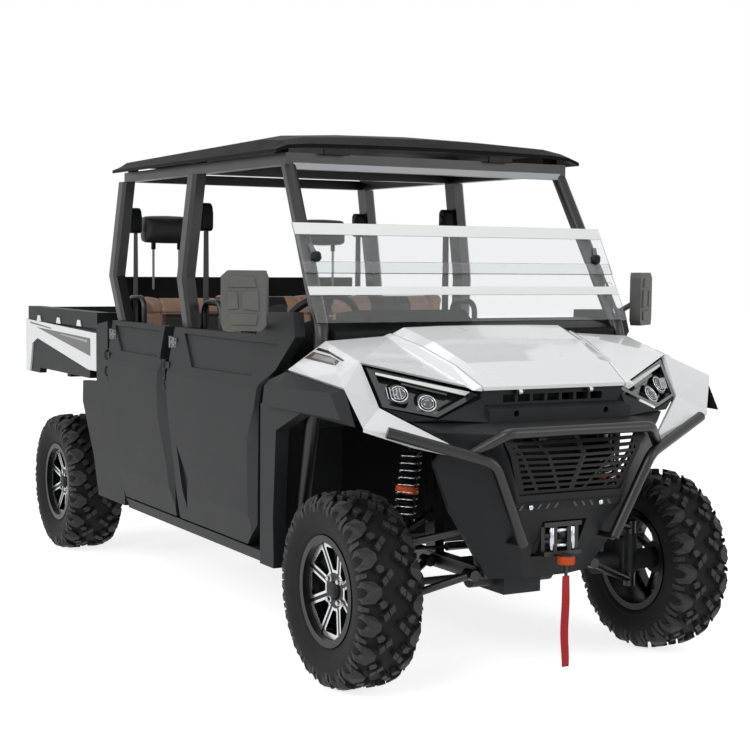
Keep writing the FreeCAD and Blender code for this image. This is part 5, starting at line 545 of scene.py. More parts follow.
SLOT_LOOK = {
    "tyre_rubber": Look.TYRE, "cast_wheel": Look.WHEEL, "frame_paint": Look.TUBE, "dark_plastic": Look.PLASTIC,
    "interior_plastic": Look.CABIN, "white_gloss": Look.WHITE, "seat_cover": Look.SEAT, "clear_screen": Look.SCREEN,
    "bright_strip": Look.STRIP, "wheel_grip": Look.GRIP, "lamp_lens": Look.LENS, "tail_lens": Look.RED_LENS,
    "grille_black": Look.GRILLE, "machined_steel": Look.STEEL, "cast_metal": Look.CASTING,
    "damper_metal": Look.DAMPER, "silencer_metal": Look.SILENCER, "red_webbing": Look.STRAP,
    "belt_webbing": Look.BELT,
}

# Nodes whose finish on the real vehicle differs from that of their slot.
NODE_LOOK = {
    "driveline": Look.CASTING, "winch": Look.TUBE, "mirror_left": Look.SHELL, "mirror_right": Look.SHELL,
    "roof_panel": Look.ROOF,
}


def dress_nodes() -> None:
    """Gives every node of the frame its own finish or that of its slot."""
    for row in frame["record"]["subparts"]:
        look = NODE_LOOK.get(row["node"], SLOT_LOOK[row["material_slot"]])
        shown = frame["nodes"][row["node"]]
        shown.data.materials.clear()
        shown.data.materials.append(look.material)


# Forms

@dataclass
class Form:
    """Points and faces gathered for one piece."""

    points: list[Vector] = field(default_factory=list)
    faces: list[tuple[int, ...]] = field(default_factory=list)

    def rings(self, rings: list[list[Vector]], loop: bool = False) -> "Form":
        """Joins matching rings of points, and caps the ends unless the rings close on themselves.

        Args:
            rings: the rings in order.
            loop: whether the last ring joins the first.

        Returns:
            The form itself.
        """
        start = len(self.points)
        count = len(rings[0])
        for ring in rings:
            self.points.extend(Vector(point) for point in ring)
        total = len(rings)
        for i in range(total if loop else total - 1):
            for k in range(count):
                a = start + i * count + k
                b = start + i * count + (k + 1) % count
                c = start + (i + 1) % total * count
                self.faces.append((a, b, c + (k + 1) % count, c + k))
        if not loop:
            self.faces.append(tuple(range(start + count - 1, start - 1, -1)))
            self.faces.append(tuple(range(start + (total - 1) * count, start + total * count)))
        return self

    def prism(self, ring: list, depth: tuple) -> "Form":
        """Adds a ring of corners pushed along a depth."""
        ring = [Vector(corner) for corner in ring]
        return self.rings([ring, [corner + Vector(depth) for corner in ring]])

    def box(self, low: tuple, high: tuple) -> "Form":
        """Adds a block between two corners; its edges are rounded when the piece is made."""
        (x0, y0, z0), (x1, y1, z1) = low, high
        return self.prism([(x0, y0, z0), (x1, y0, z0), (x1, y1, z0), (x0, y1, z0)], (0, 0, z1 - z0))

    def lathe(self, profile: list[tuple[float, float]], centre: tuple, axis: tuple, steps: int = 28,
              loop: bool = False) -> "Form":
        """Adds a turned form from a profile of (radius, distance along the axis)."""
        along = Vector(axis).normalized()
        across = along.orthogonal().normalized()
        up = along.cross(across)
        rings = []
        for radius, distance in profile:
            ring = []
            for i in range(steps):
                turn = 2 * math.pi * i / steps
                ring.append(Vector(centre) + along * distance
                            + (across * math.cos(turn) + up * math.sin(turn)) * radius)
            rings.append(ring)
        return self.rings(rings, loop)

    def torus(self, radius: float, out: float, thick: float, centre: Vector, axis: Vector) -> "Form":
        """Adds a round ring of a radius and a thickness, at a distance out along the axis."""
        profile = [(radius + thick * math.cos(t * math.pi / 4), out + thick * math.sin(t * math.pi / 4))
                   for t in range(8)]
        return self.lathe(profile, centre, axis, steps=40, loop=True)

    def sweep(self, path: list, radius: float, sides: int = 8) -> "Form":
        """Adds a round bar along a path."""
        path = [Vector(point) for point in path]
        rings = []
        for i, point in enumerate(path):
            along = (path[min(i + 1, len(path) - 1)] - path[max(i - 1, 0)]).normalized()
            # Any direction serves that no bar here runs along.
            across = along.cross(Vector((0.13, 0.29, 0.95))).normalized()
            up = along.cross(across)
            rings.append([point + (across * math.cos(2 * math.pi * k / sides) + up * math.sin(2 * math.pi * k / sides))
                          * radius for k in range(sides)])
        return self.rings(rings)

    def make(self, name: str, look: Look, slot: str, body: str = "chassis", bevel: float = 0.0,
             smooth: bool = False) -> bpy.types.Object:
        """Turns the form into a piece that rides on a body, with its sharp edges rounded by the bevel's width.

        Args:
            name: the piece's name.
            look: its finish.
            slot: the record's material slot; it is not used.
            body: the body that carries it.
            bevel: how wide its edges are rounded.
            smooth: whether it is shaded smooth.

        Returns:
            The piece.
        """
        mesh = bpy.data.meshes.new(name)
        mesh.from_pydata([tuple(point) for point in self.points], [], self.faces)
        mesh.validate()
        made = place_object(name, mesh)
        draft = bmesh.new()
        draft.from_mesh(mesh)
        bmesh.ops.recalc_face_normals(draft, faces=draft.faces)
        draft.to_mesh(mesh)
        draft.free()
        for polygon in mesh.polygons:
            polygon.use_smooth = smooth
        mesh.materials.append(look.material)
        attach(made, body)
        if bevel:
            draft = bmesh.new()
            draft.from_mesh(made.data)
            edges = [edge for edge in draft.edges if len(edge.link_faces) == 2 and edge.calc_face_angle(0) > 0.5]
            bmesh.ops.bevel(draft, geom=edges, offset=bevel, segments=2, profile=0.5, affect="EDGES",
                            clamp_overlap=True)
            draft.to_mesh(made.data)
            draft.free()
        return made


def film(name: str, node: str, corners: list, across: int, look: Look, slot: str, body: str = "chassis",
         proud: float = 0.0008) -> None:
    """Lays a thin film on a node of the frame, by dropping a grid of points onto its surface.

    Args:
        name: the film's name.
        node: the node that it lies on.
        corners: its four corners in order, near the surface.
        across: how many cells it has along its length.
        look: its finish.
        slot: the record's material slot.
        body: the body that carries it.
        proud: how far it stands off the surface.
    """
    tree = ray_tree(node)
    a, b, c, d = (Vector(corner) for corner in corners)
    down = 4
    form = Form()
    for i in range(across + 1):
        for j in range(down + 1):
            place = a.lerp(b, i / across).lerp(d.lerp(c, i / across), j / down)
            near, normal, _, _ = tree.find_nearest(place)
            form.points.append(near + normal * proud)
    for i in range(across):
        for j in range(down):
            k = i * (down + 1) + j
            form.faces.append((k, k + 1, k + down + 2, k + down + 1))
    form.make(name, look, slot, body)


# Soft pieces

@dataclass
class Pad:
    """One stuffed pad, swollen from a box by a cloth simulation.

    The box is given by its lowest and highest corner before it leans. A seam is an axis with the place along it, as
    a share of the box, and so are the edges of the lighter panels.
    """

    name: str
    low: Vector
    high: Vector
    voxel: float = 0.008
    pressure: float = 4.0
    most: float = 0.024
    shrink: float = 0.018
    rounding: float = 0.28
    lean: float = 0.0
    fill: float = 0.6
    frames: int = 20
    seams: tuple[tuple[int, float], ...] = ()
    seam_half: float = 0.011
    seam_depth: float = 0.008
    panel_y: tuple[float, ...] = ()
    panel_z: float = 2.0
    wing_foot: float = 0.3
    middle_half: float = 0.16

    def build(self, node: str) -> None:
        """Builds, swells, sews and places the pad, which stands for a node."""
        pad = place_object(self.name, self.core())
        remesh = pad.modifiers.new("Remesh", "REMESH")
        remesh.mode = "VOXEL"
        remesh.voxel_size = self.voxel
        apply_modifiers(pad)
        self.swell(pad)
        soft = pad.modifiers.new("Subdivision", "SUBSURF")
        soft.levels = 1
        soft.render_levels = 1
        smooth = pad.modifiers.new("Smooth", "SMOOTH")
        smooth.iterations = 4
        apply_modifiers(pad)
        pad.data.materials.clear()
        for look in (Look.SEAT, Look.SEAT_TAN):
            pad.data.materials.append(look.material)
        self.sew(pad)
        self.lean_back(pad)
        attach(pad, "chassis")
        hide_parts(node)
        LOG.info("built %s", self.name)

    def core(self) -> bpy.types.Mesh:
        """Gives the rounded block that the pad swells from."""
        low = self.low + Vector((1, 1, 1)) * self.shrink
        high = self.high - Vector((1, 1, 1)) * self.shrink
        draft = bmesh.new()
        bmesh.ops.create_cube(draft, size=1.0)
        size = high - low
        middle = (high + low) / 2
        for vertex in draft.verts:
            vertex.co = Vector((vertex.co.x * size.x, vertex.co.y * size.y, vertex.co.z * size.z)) + middle
        bmesh.ops.bevel(draft, geom=draft.edges[:], offset=min(size) * self.rounding, segments=4, profile=0.5,
                        affect="EDGES")
        mesh = bpy.data.meshes.new(self.name)
        draft.to_mesh(mesh)
        draft.free()
        return mesh

    def swell(self, pad: bpy.types.Object) -> None:
        """Blows the pad up as cloth, and caps how far each point may move."""
        before = [vertex.co.copy() for vertex in pad.data.vertices]
        cloth = pad.modifiers.new("Cloth", "CLOTH")
        cloth.settings.use_pressure = True
        cloth.settings.uniform_pressure_force = self.pressure
        cloth.settings.effector_weights.gravity = 0
        scene = bpy.context.scene
        for number in range(1, self.frames + 1):
            scene.frame_set(number)
        apply_modifiers(pad)
        scene.frame_set(1)
        for vertex, start in zip(pad.data.vertices, before):
            move = vertex.co - start
            if move.length > self.most:
                vertex.co = start + move.normalized() * self.most
            vertex.co = Vector(min(max(place, low), high) for place, low, high in zip(vertex.co, self.low, self.high))

    def sew(self, pad: bpy.types.Object) -> None:
        """Draws the seams in as channels, and gives the panels beyond them the lighter cover."""
        size = self.high - self.low
        normals = [vertex.normal.copy() for vertex in pad.data.vertices]
        for vertex, normal in zip(pad.data.vertices, normals):
            for axis, share in self.seams:
                away = abs(vertex.co[axis] - self.low[axis] - size[axis] * share) / self.seam_half
                if away < 1 and abs(normal[axis]) < 0.6:
                    vertex.co -= normal * self.seam_depth * (1 - away * away)
        for polygon in pad.data.polygons:
            polygon.use_smooth = True
            across = (polygon.center.y - self.low.y) / size.y
            up = (polygon.center.z - self.low.z) / size.z
            wing = len(self.panel_y) == 2 and not self.panel_y[0] < across < self.panel_y[1]
            shoulder = up > self.panel_z and abs(across - 0.5) > self.middle_half
            if polygon.normal.x > 0.2 or polygon.normal.z > 0.5:
                polygon.material_index = int(shoulder or (wing and up > self.wing_foot))

    def lean_back(self, pad: bpy.types.Object) -> None:
        """Slides the pad's top back, as the seat's back leans."""
        height = self.high.z - self.low.z
        for vertex in pad.data.vertices:
            vertex.co.x -= self.lean * (vertex.co.z - self.low.z) / height


@dataclass
class Seats:
    """The front seats, the rear bench and the rear headrests."""

    front_x: float = 0.640
    rear_bench_x: float = -0.260
    length: float = 0.480
    half_width: float = 0.585
    split_y: float = -0.065
    gap: float = 0.010
    cushion_low: float = 0.7246
    cushion_top: float = 0.8346
    back_thickness: float = 0.115
    back_lift: float = 0.03
    front_back_top: float = 1.365
    rear_back_top: float = 1.335
    lean: float = 0.080
    wing_width: float = 0.115
    wide_seat: float = 1.0
    top_band: float = 0.80
    head_x: float = -0.782
    head_y: float = 0.417
    head_z: float = 1.621
    head_size: Vector = field(default_factory=lambda: Vector((0.090, 0.265, 0.140)))
    post_offset: float = 0.066
    sleeve_radius: float = 0.011
    sleeve_length: float = 0.075
    sleeve_drop: float = 0.095

    def bench(self, name: str, front: float, spans: list[tuple[float, float]], top: float) -> None:
        """Builds the cushions and backs of one row of seats, which stand for the row's node.

        Args:
            name: the row's node, and what its pieces are called.
            front: the cushions' front edge.
            spans: the lowest and highest y of each seat.
            top: the height of the backs.
        """
        rear = front - self.length
        for number, (low_y, high_y) in enumerate(spans, 1):
            wing = self.wing_width / (high_y - low_y)
            seams = ((1, wing), (1, 1 - wing))
            middle = ((1, 0.5),) if high_y - low_y > self.wide_seat else ()
            Pad(f"{name}_cushion_{number}", Vector((rear + self.back_thickness * 0.9, low_y, self.cushion_low)),
                Vector((front, high_y, self.cushion_top)), panel_y=(wing, 1 - wing),
                seams=seams + ((0, 0.36), (0, 0.68)) + middle).build(name)
            Pad(f"{name}_back_{number}", Vector((rear, low_y, self.cushion_low + self.back_lift)),
                Vector((rear + self.back_thickness, high_y, top)), lean=self.lean, panel_y=(wing, 1 - wing),
                panel_z=self.top_band,
                seams=seams + ((2, self.top_band), (2, 0.42), (2, 0.62)) + middle).build(name)

    def build(self) -> None:
        """Builds every seat piece."""
        self.bench("front_seat", self.front_x, [(-self.half_width, self.split_y - self.gap),
                                                (self.split_y + self.gap, self.half_width)], self.front_back_top)
        self.bench("rear_seat", self.rear_bench_x, [(-self.half_width, self.half_width)], self.rear_back_top)
        for side, word in SIDES:
            centre = Vector((self.head_x, side * self.head_y, self.head_z))
            Pad(f"rear_headrest_{word}", centre - self.head_size / 2, centre + self.head_size / 2, shrink=0.008,
                most=0.012).build("rear_headrests")
            sleeves = Form()
            for off in (-self.post_offset, self.post_offset):
                sleeves.lathe([(0.0005, 0.0), (self.sleeve_radius, 0.0), (self.sleeve_radius, self.sleeve_length),
                               (0.0005, self.sleeve_length)],
                              (self.head_x, side * (self.head_y + off), self.head_z - self.sleeve_drop), UPWARD,
                              steps=16)
            sleeves.make(f"headrest_sleeves_{word}", Look.GRILLE, "interior_plastic", smooth=True)


def webbing(centres: list[tuple[float, float, float]], turns: list[float], width: float, thickness: float) -> Form:
    """Gives flat webbing along a line of points, turned about the upright by an angle at each point.

    Args:
        centres: the points that its middle runs through.
        turns: the angle, from the x axis, that its width lies at by each point.
        width: its width.
        thickness: its thickness.

    Returns:
        The form.
    """
    rings = []
    for (x, y, z), turn in zip(centres, turns):
        along = Vector((math.cos(turn), math.sin(turn), 0)) * width / 2
        out = Vector((-math.sin(turn), math.cos(turn), 0)) * thickness / 2
        middle = Vector((x, y, z))
        rings.append([middle - along - out, middle + along - out, middle + along + out, middle - along + out])
    return Form().rings(rings)


@dataclass
class Belts:
    """The four seat belts, as flat webbing that hangs from the retractors, and the retractors' moulded covers."""

    x_places: tuple[float, float] = (0.130, -0.720)
    y: float = 0.5955
    top: float = 1.5997
    low: float = 0.860
    width: float = 0.046
    thickness: float = 0.003
    twist: float = 0.10
    steps: int = 24
    cover_y: float = 0.573
    cover_z: float = 1.660
    cover_depth: float = 0.050
    cover: tuple[tuple[float, float], ...] = ((-0.030, -0.052), (-0.016, -0.060), (0.016, -0.060), (0.030, -0.050),
                                              (0.031, 0.010), (0.024, 0.042), (0.008, 0.058), (-0.014, 0.060),
                                              (-0.029, 0.044))
    cap: tuple[tuple[float, float], ...] = ((0.019, -0.003), (0.019, 0.002), (0.016, 0.004), (0.001, 0.0045))
    cap_lift: float = 0.012

    def build(self) -> None:
        """Builds the covers and the belts."""
        for x, row in zip(self.x_places, AXLES):
            for side, word in SIDES:
                self.retractor(x, side, f"{row}_{word}")
        for x, row in zip(self.x_places, AXLES):
            for side, word in SIDES:
                shares = [i / self.steps for i in range(self.steps + 1)]
                centres = [(x, side * self.y, self.low + (self.top - self.low) * share) for share in shares]
                turns = [self.twist * math.sin(math.pi * share) for share in shares]
                belt = webbing(centres, turns, self.width, self.thickness).make(f"belt_{row}_{word}", Look.BELT,
                                                                               "belt_webbing")
                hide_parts("seat_belts")
                LOG.info("built %s", belt.name)

    def retractor(self, x: float, side: int, where: str) -> None:
        """Builds one cover, with the round cap over its spool."""
        ring = [(x + along, side * self.cover_y, self.cover_z + up) for along, up in self.cover]
        made = Form().prism(ring, (0, side * self.cover_depth, 0)).make(f"retractor_{where}", Look.CABIN,
                                                                       "interior_plastic", bevel=0.007)
        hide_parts("belt_retractors")
        cap = Form().lathe(list(self.cap), (x, side * self.cover_y, self.cover_z + self.cap_lift), (0, -side, 0),
                           steps=24)
        cap.make(f"retractor_cap_{where}", Look.GRILLE, "interior_plastic", smooth=True)


@dataclass
class PullStrap:
    """The red pull strap under the winch hook, as flat webbing that hangs with a slight wave."""

    x: float = 1.926
    top: float = 0.3947
    length: float = 0.320
    width: float = 0.028
    thickness: float = 0.003
    steps: int = 30
    sway: float = 0.006
    waves: float = 2.6
    turn: float = 0.5

    def build(self) -> None:
        """Builds the strap, whose width lies across the vehicle at its top."""
        shares = [i / self.steps for i in range(self.steps + 1)]
        centres = [(self.x + self.sway * math.sin(self.waves * math.pi * share) * share, 0.0,
                    self.top - self.length * share) for share in shares]
        turns = [math.pi / 2 - self.turn * math.sin(math.pi * share) for share in shares]
        strap = webbing(centres, turns, self.width, self.thickness).make("pull_strap", Look.STRAP, "red_webbing")
        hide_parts("hook_strap")
        LOG.info("built %s", strap.name)


# Trim

@dataclass
class WheelTrim:
    """Each wheel's centre cap, lug nuts and valve, and its tyre with separate blocks of tread.

    The carcass is a profile of (radius, share of the half width). Each block is an outline of (degrees round the
    wheel, share of the half width).
    """

    face_out: tuple[float, float] = (0.058, 0.0735)
    half_width: tuple[float, float] = (0.1175, 0.1375)
    nut_circle: float = 0.052
    nuts: int = 4
    pitches: int = 18
    block_height: float = 0.026
    carcass: tuple[tuple[float, float], ...] = (
        (0.1795, 0.775), (0.1955, 0.778), (0.1985, 0.806), (0.2050, 0.832), (0.2120, 0.868), (0.2180, 0.866),
        (0.2230, 0.884), (0.2400, 0.930), (0.2600, 0.972), (0.2780, 0.984), (0.2920, 0.970), (0.3030, 0.925),
        (0.3110, 0.850), (0.3165, 0.730), (0.3195, 0.480), (0.3205, 0.200), (0.3210, 0.0))
    blocks: tuple[tuple[tuple[float, float], ...], ...] = (
        ((-7.0, 0.955), (-3.6, 0.990), (-2.4, 0.900), (0.0, 0.830), (2.4, 0.900), (3.6, 0.990), (7.0, 0.955),
         (6.2, 0.720), (2.0, 0.500), (-2.0, 0.500), (-6.2, 0.720)),
        ((8.2, 0.988), (11.8, 0.988), (11.2, 0.860), (8.8, 0.860)),
        ((2.6, 0.400), (6.2, 0.460), (9.0, 0.310), (5.4, 0.250)),
        ((5.9, 0.232), (9.5, 0.292), (12.6, 0.125), (9.0, 0.065)),
        ((10.2, 0.520), (14.0, 0.600), (15.4, 0.460), (13.6, 0.330), (11.4, 0.360)))
    crown_rows: tuple[tuple[float, float], ...] = ((0.0, 0.3430), (0.55, 0.3415), (0.78, 0.3360), (0.90, 0.3240),
                                                   (0.975, 0.3040), (1.0, 0.2960))

    def build(self) -> None:
        """Builds the trim of the four wheels."""
        for axle, out, half in zip(AXLES, self.face_out, self.half_width):
            for side, word in SIDES:
                where = f"{axle}_{word}"
                low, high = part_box(f"tyre_{where}")
                centre = (Vector(low) + Vector(high)) / 2
                self.middle(where, centre, side, out)
                self.tyre(where, centre, side, half)
                LOG.info("built the trim of wheel %s", where)

    def middle(self, where: str, centre: Vector, side: int, out: float) -> None:
        """Builds the cap, the nuts and the valve.

        Args:
            where: which wheel.
            centre: the wheel's middle.
            side: which side of the vehicle it is on.
            out: how far its face stands out from the middle.
        """
        axis = Vector((0, side, 0))
        body = f"wheel_{where}"
        face = centre + axis * out
        cap = Form().lathe([(0.033, -0.012), (0.033, 0.002), (0.031, 0.006), (0.027, 0.010), (0.020, 0.013),
                            (0.010, 0.0145), (0.001, 0.015)], face, axis)
        cap.make(f"centre_cap_{where}", Look.GRILLE, "dark_plastic", body, smooth=True)
        nuts = Form()
        for i in range(self.nuts):
            turn = math.radians(45 + 360 / self.nuts * i)
            place = face + Vector((math.cos(turn), 0, math.sin(turn))) * self.nut_circle
            nuts.lathe([(0.0125, -0.004), (0.0125, 0.001), (0.0105, 0.003)], place, axis, steps=20)
            nuts.lathe([(0.0095, 0.002), (0.0095, 0.012), (0.006, 0.0145), (0.001, 0.015)], place, axis, steps=6)
        nuts.make(f"lug_nuts_{where}", Look.CHROME, "machined_steel", body)
        spoke = Vector((math.cos(SPOKE_TURN), 0, math.sin(SPOKE_TURN)))
        valve = [centre + spoke * radius + axis * (out + lift)
                 for radius, lift in ((0.183, -0.018), (0.172, -0.002), (0.162, 0.016))]
        Form().sweep(valve, 0.0034).make(f"valve_{where}", Look.GRIP, "tyre_rubber", body, smooth=True)

    def tyre(self, where: str, centre: Vector, side: int, half: float) -> None:
        """Builds the tyre: a round carcass with separate blocks of tread, in place of the plain node.

        Args:
            where: which wheel.
            centre: the wheel's middle.
            side: which side of the vehicle it is on.
            half: half of the tyre's width.
        """
        axis = Vector((0, side, 0))
        body = f"wheel_{where}"
        outer = [(radius, share * half) for radius, share in self.carcass]
        inner = [(radius, -out) for radius, out in reversed(outer[:-1])]
        form = Form().lathe(outer + inner, centre, axis, steps=80, loop=True)
        carcass = form.make(f"tyre_carcass_{where}", Look.TYRE, "tyre_rubber", body, smooth=True)
        blocks = Form()
        pitch = 360 / self.pitches
        for i in range(self.pitches):
            for wall, _ in SIDES:
                start = i * pitch - 90 + (pitch / 2 if wall == RIGHT else 0)
                for outline in self.blocks:
                    rings = []
                    for sunk in (self.block_height, 0.0):
                        ring = []
                        for degrees, share in outline:
                            turn = math.radians(start + degrees)
                            spoke = Vector((math.cos(turn), 0, math.sin(turn)))
                            ring.append(centre + spoke * (self.crown(share) - sunk) + axis * (wall * share * half))
                        rings.append(ring)
                    blocks.rings(rings)
        tread = blocks.make(f"tyre_tread_{where}", Look.TREAD, "tyre_rubber", body, bevel=0.0016)
        for made in (carcass, tread):
            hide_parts(f"tyre_{where}")

    def crown(self, share: float) -> float:
        """Gives the radius of the tread's top at a share of the tyre's half width."""
        for (share_a, radius_a), (share_b, radius_b) in zip(self.crown_rows, self.crown_rows[1:]):
            if share <= share_b:
                return radius_a + (radius_b - radius_a) * (share - share_a) / (share_b - share_a)
        return self.crown_rows[-1][1]


@dataclass
class LampTrim:
    """What the lamps' pockets hold: two projectors, a bright strip under the upper lip and ribbed reflectors."""

    facing: Vector = field(default_factory=lambda: Vector((0.767, 0.279, 0.578)).normalized())
    projectors: tuple[tuple[float, float, float], ...] = ((1.721, 0.560, 1.030), (1.775, 0.480, 1.000))
    strip: tuple[tuple[float, float, float], ...] = (
        (1.6520, 0.6150, 1.1010), (1.8060, 0.3290, 1.0370), (1.8075, 0.3500, 1.0255), (1.6570, 0.6170, 1.0935))
    dome: tuple[tuple[float, float], ...] = ((0.0205, -0.002), (0.0200, 0.002), (0.0170, 0.0060), (0.0120, 0.0088),
                                             (0.006, 0.0101), (0.0008, 0.0104))
    rib: tuple[tuple[float, float], ...] = ((1.6975, 1.052), (1.7175, 1.014), (1.7215, 1.016), (1.7015, 1.054))
    rib_y: float = 0.598
    rib_step: tuple[float, float] = (0.005, -0.010)
    tail_bar: tuple[float, float] = (0.7015, 0.7285)

    def build(self) -> None:
        """Builds the trim of both headlamps and of the tail lamps."""
        for side, word in SIDES:
            self.headlamp(side, word)
            low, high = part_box("tail_lamps")
            lines = Form()
            near, far = sorted(side * y for y in self.tail_bar)
            for i in range(3):
                z = low[2] + (high[2] - low[2]) * (0.25 + 0.25 * i)
                lines.box((low[0] - 0.0012, near, z - 0.003), (low[0] + 0.002, far, z + 0.003))
            lines.make(f"tail_lamp_bars_{word}", Look.GRILLE, "tail_lens", "bed", bevel=0.0006)
            LOG.info("built the lamp trim %s", word)

    def headlamp(self, side: int, word: str) -> None:
        """Builds the bezels, domes, strip and reflector ribs of one headlamp."""
        axis = Vector((self.facing.x, side * self.facing.y, self.facing.z))
        bezels, domes, seats = Form(), Form(), Form()
        for place in on_side(self.projectors, side):
            bezels.torus(0.0300, 0.0010, 0.0028, place, axis)
            bezels.torus(0.0215, 0.0030, 0.0016, place, axis)
            domes.lathe(list(self.dome), place, axis, steps=32)
            seats.lathe([(0.0290, -0.001), (0.0285, 0.0012), (0.0230, 0.0016)], place, axis, steps=32)
        bezels.make(f"projector_bezels_{word}", Look.CHROME, "machined_steel", smooth=True)
        domes.make(f"projector_domes_{word}", Look.GLASS, "lamp_lens", smooth=True)
        seats.make(f"projector_seats_{word}", Look.GRILLE, "grille_black")
        strip = Form().prism([corner - axis * 0.002 for corner in on_side(self.strip, side)], axis * 0.0040)
        strip.make(f"light_strip_{word}", Look.STRIP, "lamp_lens", bevel=0.0008)
        ribs = Form()
        for i in range(5):
            along, across = (step * i for step in self.rib_step)
            ribs.prism(on_side([(x + along, self.rib_y + across, z) for x, z in self.rib], side), (0, side * 0.004, 0))
        ribs.make(f"reflector_ribs_{word}", Look.CHROME, "machined_steel", bevel=0.0006)


@dataclass
class BodyTrim:
    """The lips, films, strips, hinge leaves and bolts of the body panels.

    A film is its piece's name, its finish and its four corners on the left side.
    """

    hood_rear: Vector = field(default_factory=lambda: Vector((1.375, 0.390, 1.219)))
    hood_front: Vector = field(default_factory=lambda: Vector((1.848, 0.300, 1.056)))
    hood_shares: tuple[tuple[float, float], ...] = ((0.0, 0.0), (0.35, 0.24), (0.72, 0.60), (1.0, 1.0))
    seam: float = 0.0055
    seam_foot: tuple[float, float] = (1.211, 1.050)
    seam_profile: tuple[tuple[float, float], ...] = ((0.0, -0.002), (0.003, 0.001), (0.014, -0.002))
    lip_low: tuple = (((1.7905, 0.7330), (1.7925, 0.7360), 0.9300, 0.9160),
                      ((1.8400, 0.5700), (1.8430, 0.5720), 0.8830, 0.8600),
                      ((1.8850, 0.4250), (1.8880, 0.4270), 0.8420, 0.8260))
    fender_films: tuple = (
        ("fender_stripe", Look.BLACK_FILM, ((1.372, 0.695, 1.1775), (1.575, 0.697, 1.1575),
                                            (1.578, 0.7045, 1.1495), (1.366, 0.7035, 1.1695))),
        ("fender_panel", Look.BROWN_FILM, ((1.352, 0.708, 1.1610), (1.566, 0.7085, 1.1450),
                                           (1.580, 0.7300, 1.1210), (1.322, 0.7300, 1.1370))),
        ("fender_bar", Look.GREY_FILM, ((1.392, 0.7115, 1.1545), (1.548, 0.7125, 1.1425),
                                        (1.552, 0.7235, 1.1290), (1.385, 0.7240, 1.1400))))
    bed_films: tuple = (
        ("bed_pinstripe", Look.BLACK_FILM, ((-1.930, 0.745, 1.1400), (-1.560, 0.745, 1.1210),
                                            (-1.560, 0.745, 1.1150), (-1.925, 0.745, 1.1310))),
        ("bed_stripe", Look.BLACK_FILM, ((-1.815, 0.745, 1.1150), (-0.940, 0.745, 1.0960),
                                         (-0.940, 0.745, 1.0100), (-1.760, 0.745, 1.1080))),
        ("bed_flash", Look.GREY_FILM, ((-1.420, 0.745, 1.0980), (-0.985, 0.745, 1.0860),
                                       (-0.985, 0.745, 1.0740), (-1.380, 0.745, 1.0920))))
    tab_x: tuple[float, float, float] = (-1.770, -1.438, -1.113)
    tab: tuple[tuple[float, float], ...] = ((-0.034, 1.148), (0.034, 1.148), (0.020, 1.178), (-0.020, 1.178))
    hinge_x: tuple[float, float] = (0.117, -0.625)
    leaf_z: tuple[float, float] = (1.108, 1.158)
    door_face: float = 0.782
    screws: tuple[tuple[float, float], ...] = ((0.030, 0.012), (0.030, 0.038), (0.074, 0.014), (0.074, 0.036))
    screw: tuple[tuple[float, float], ...] = ((0.0062, -0.002), (0.0062, 0.003), (0.0045, 0.0052), (0.0006, 0.0056))
    header_half: float = 0.610
    header: tuple[tuple[float, float], ...] = ((-0.002, -0.020), (0.006, -0.018), (0.006, 0.007), (-0.002, 0.010))
    clip_y: tuple[float, float] = (-0.44, 0.30)
    clip_half: float = 0.055
    cover_x: float = 1.945
    cover_strip: tuple[tuple[float, float], ...] = ((-0.232, 0.6640), (0.226, 0.6640), (0.214, 0.6330),
                                                    (-0.222, 0.6330))
    slot_z: tuple[float, float] = (0.6570, 0.6400)
    slot_half: float = 0.005
    slot_lean: float = 0.006
    slots: tuple[float, ...] = (-0.205, -0.130, -0.095, -0.060, 0.020, 0.055, 0.090, 0.165)

    def build(self) -> None:
        """Builds the trim of the body on both sides."""
        for side, word in SIDES:
            self.hood_seam(side, word)
            self.lower_lip(side, word)
            self.films(side, word)
            self.hinges(side, word)
            LOG.info("built the body trim %s", word)
        self.roof()
        self.nose()

    def hood_seam(self, side: int, word: str) -> None:
        """Builds the raised lip of the fender along the hood's edge."""
        rings = []
        for share, drop in self.hood_shares:
            x, y, _ = self.hood_rear.lerp(self.hood_front, share)
            z = self.hood_rear.lerp(self.hood_front, drop).z
            base = self.seam_foot[0] + (self.seam_foot[1] - self.seam_foot[0]) * share
            inner = y + self.seam
            lip = [(x, inner + out, z + up) for out, up in self.seam_profile]
            rings.append(on_side([(x, inner, base - 0.008), *lip, (x, inner + 0.040, base - 0.004)], side))
        Form().rings(rings).make(f"hood_seam_lip_{word}", Look.WHITE, "white_gloss", bevel=0.001)

    def lower_lip(self, side: int, word: str) -> None:
        """Builds the white lip that shows under the bar along the fender's lower edge."""
        rings = [on_side([(*inner, top), (*outer, top), (*outer, foot), (*inner, foot)], side)
                 for inner, outer, top, foot in self.lip_low]
        Form().rings(rings).make(f"fender_lower_lip_{word}", Look.WHITE, "white_gloss", bevel=0.0006)

    def films(self, side: int, word: str) -> None:
        """Lays the stripes on the fender and on the side of the bed, and builds the tabs over the latter."""
        for films, node, body, across in ((self.fender_films, "front_fenders", "chassis", 12),
                                          (self.bed_films, "bed_side_panels", "bed", 10)):
            for name, look, corners in films:
                film(f"{name}_{word}", node, on_side(corners, side), across, look, "white_gloss", body,
                     proud=0.0010 if look == Look.GREY_FILM else 0.0006)
        tabs = Form()
        for x in self.tab_x:
            tabs.prism(on_side([(x + along, 0.742, z) for along, z in self.tab], side), (0, side * 0.005, 0))
        tabs.make(f"bed_tabs_{word}", Look.WHITE, "white_gloss", "bed", bevel=0.001)

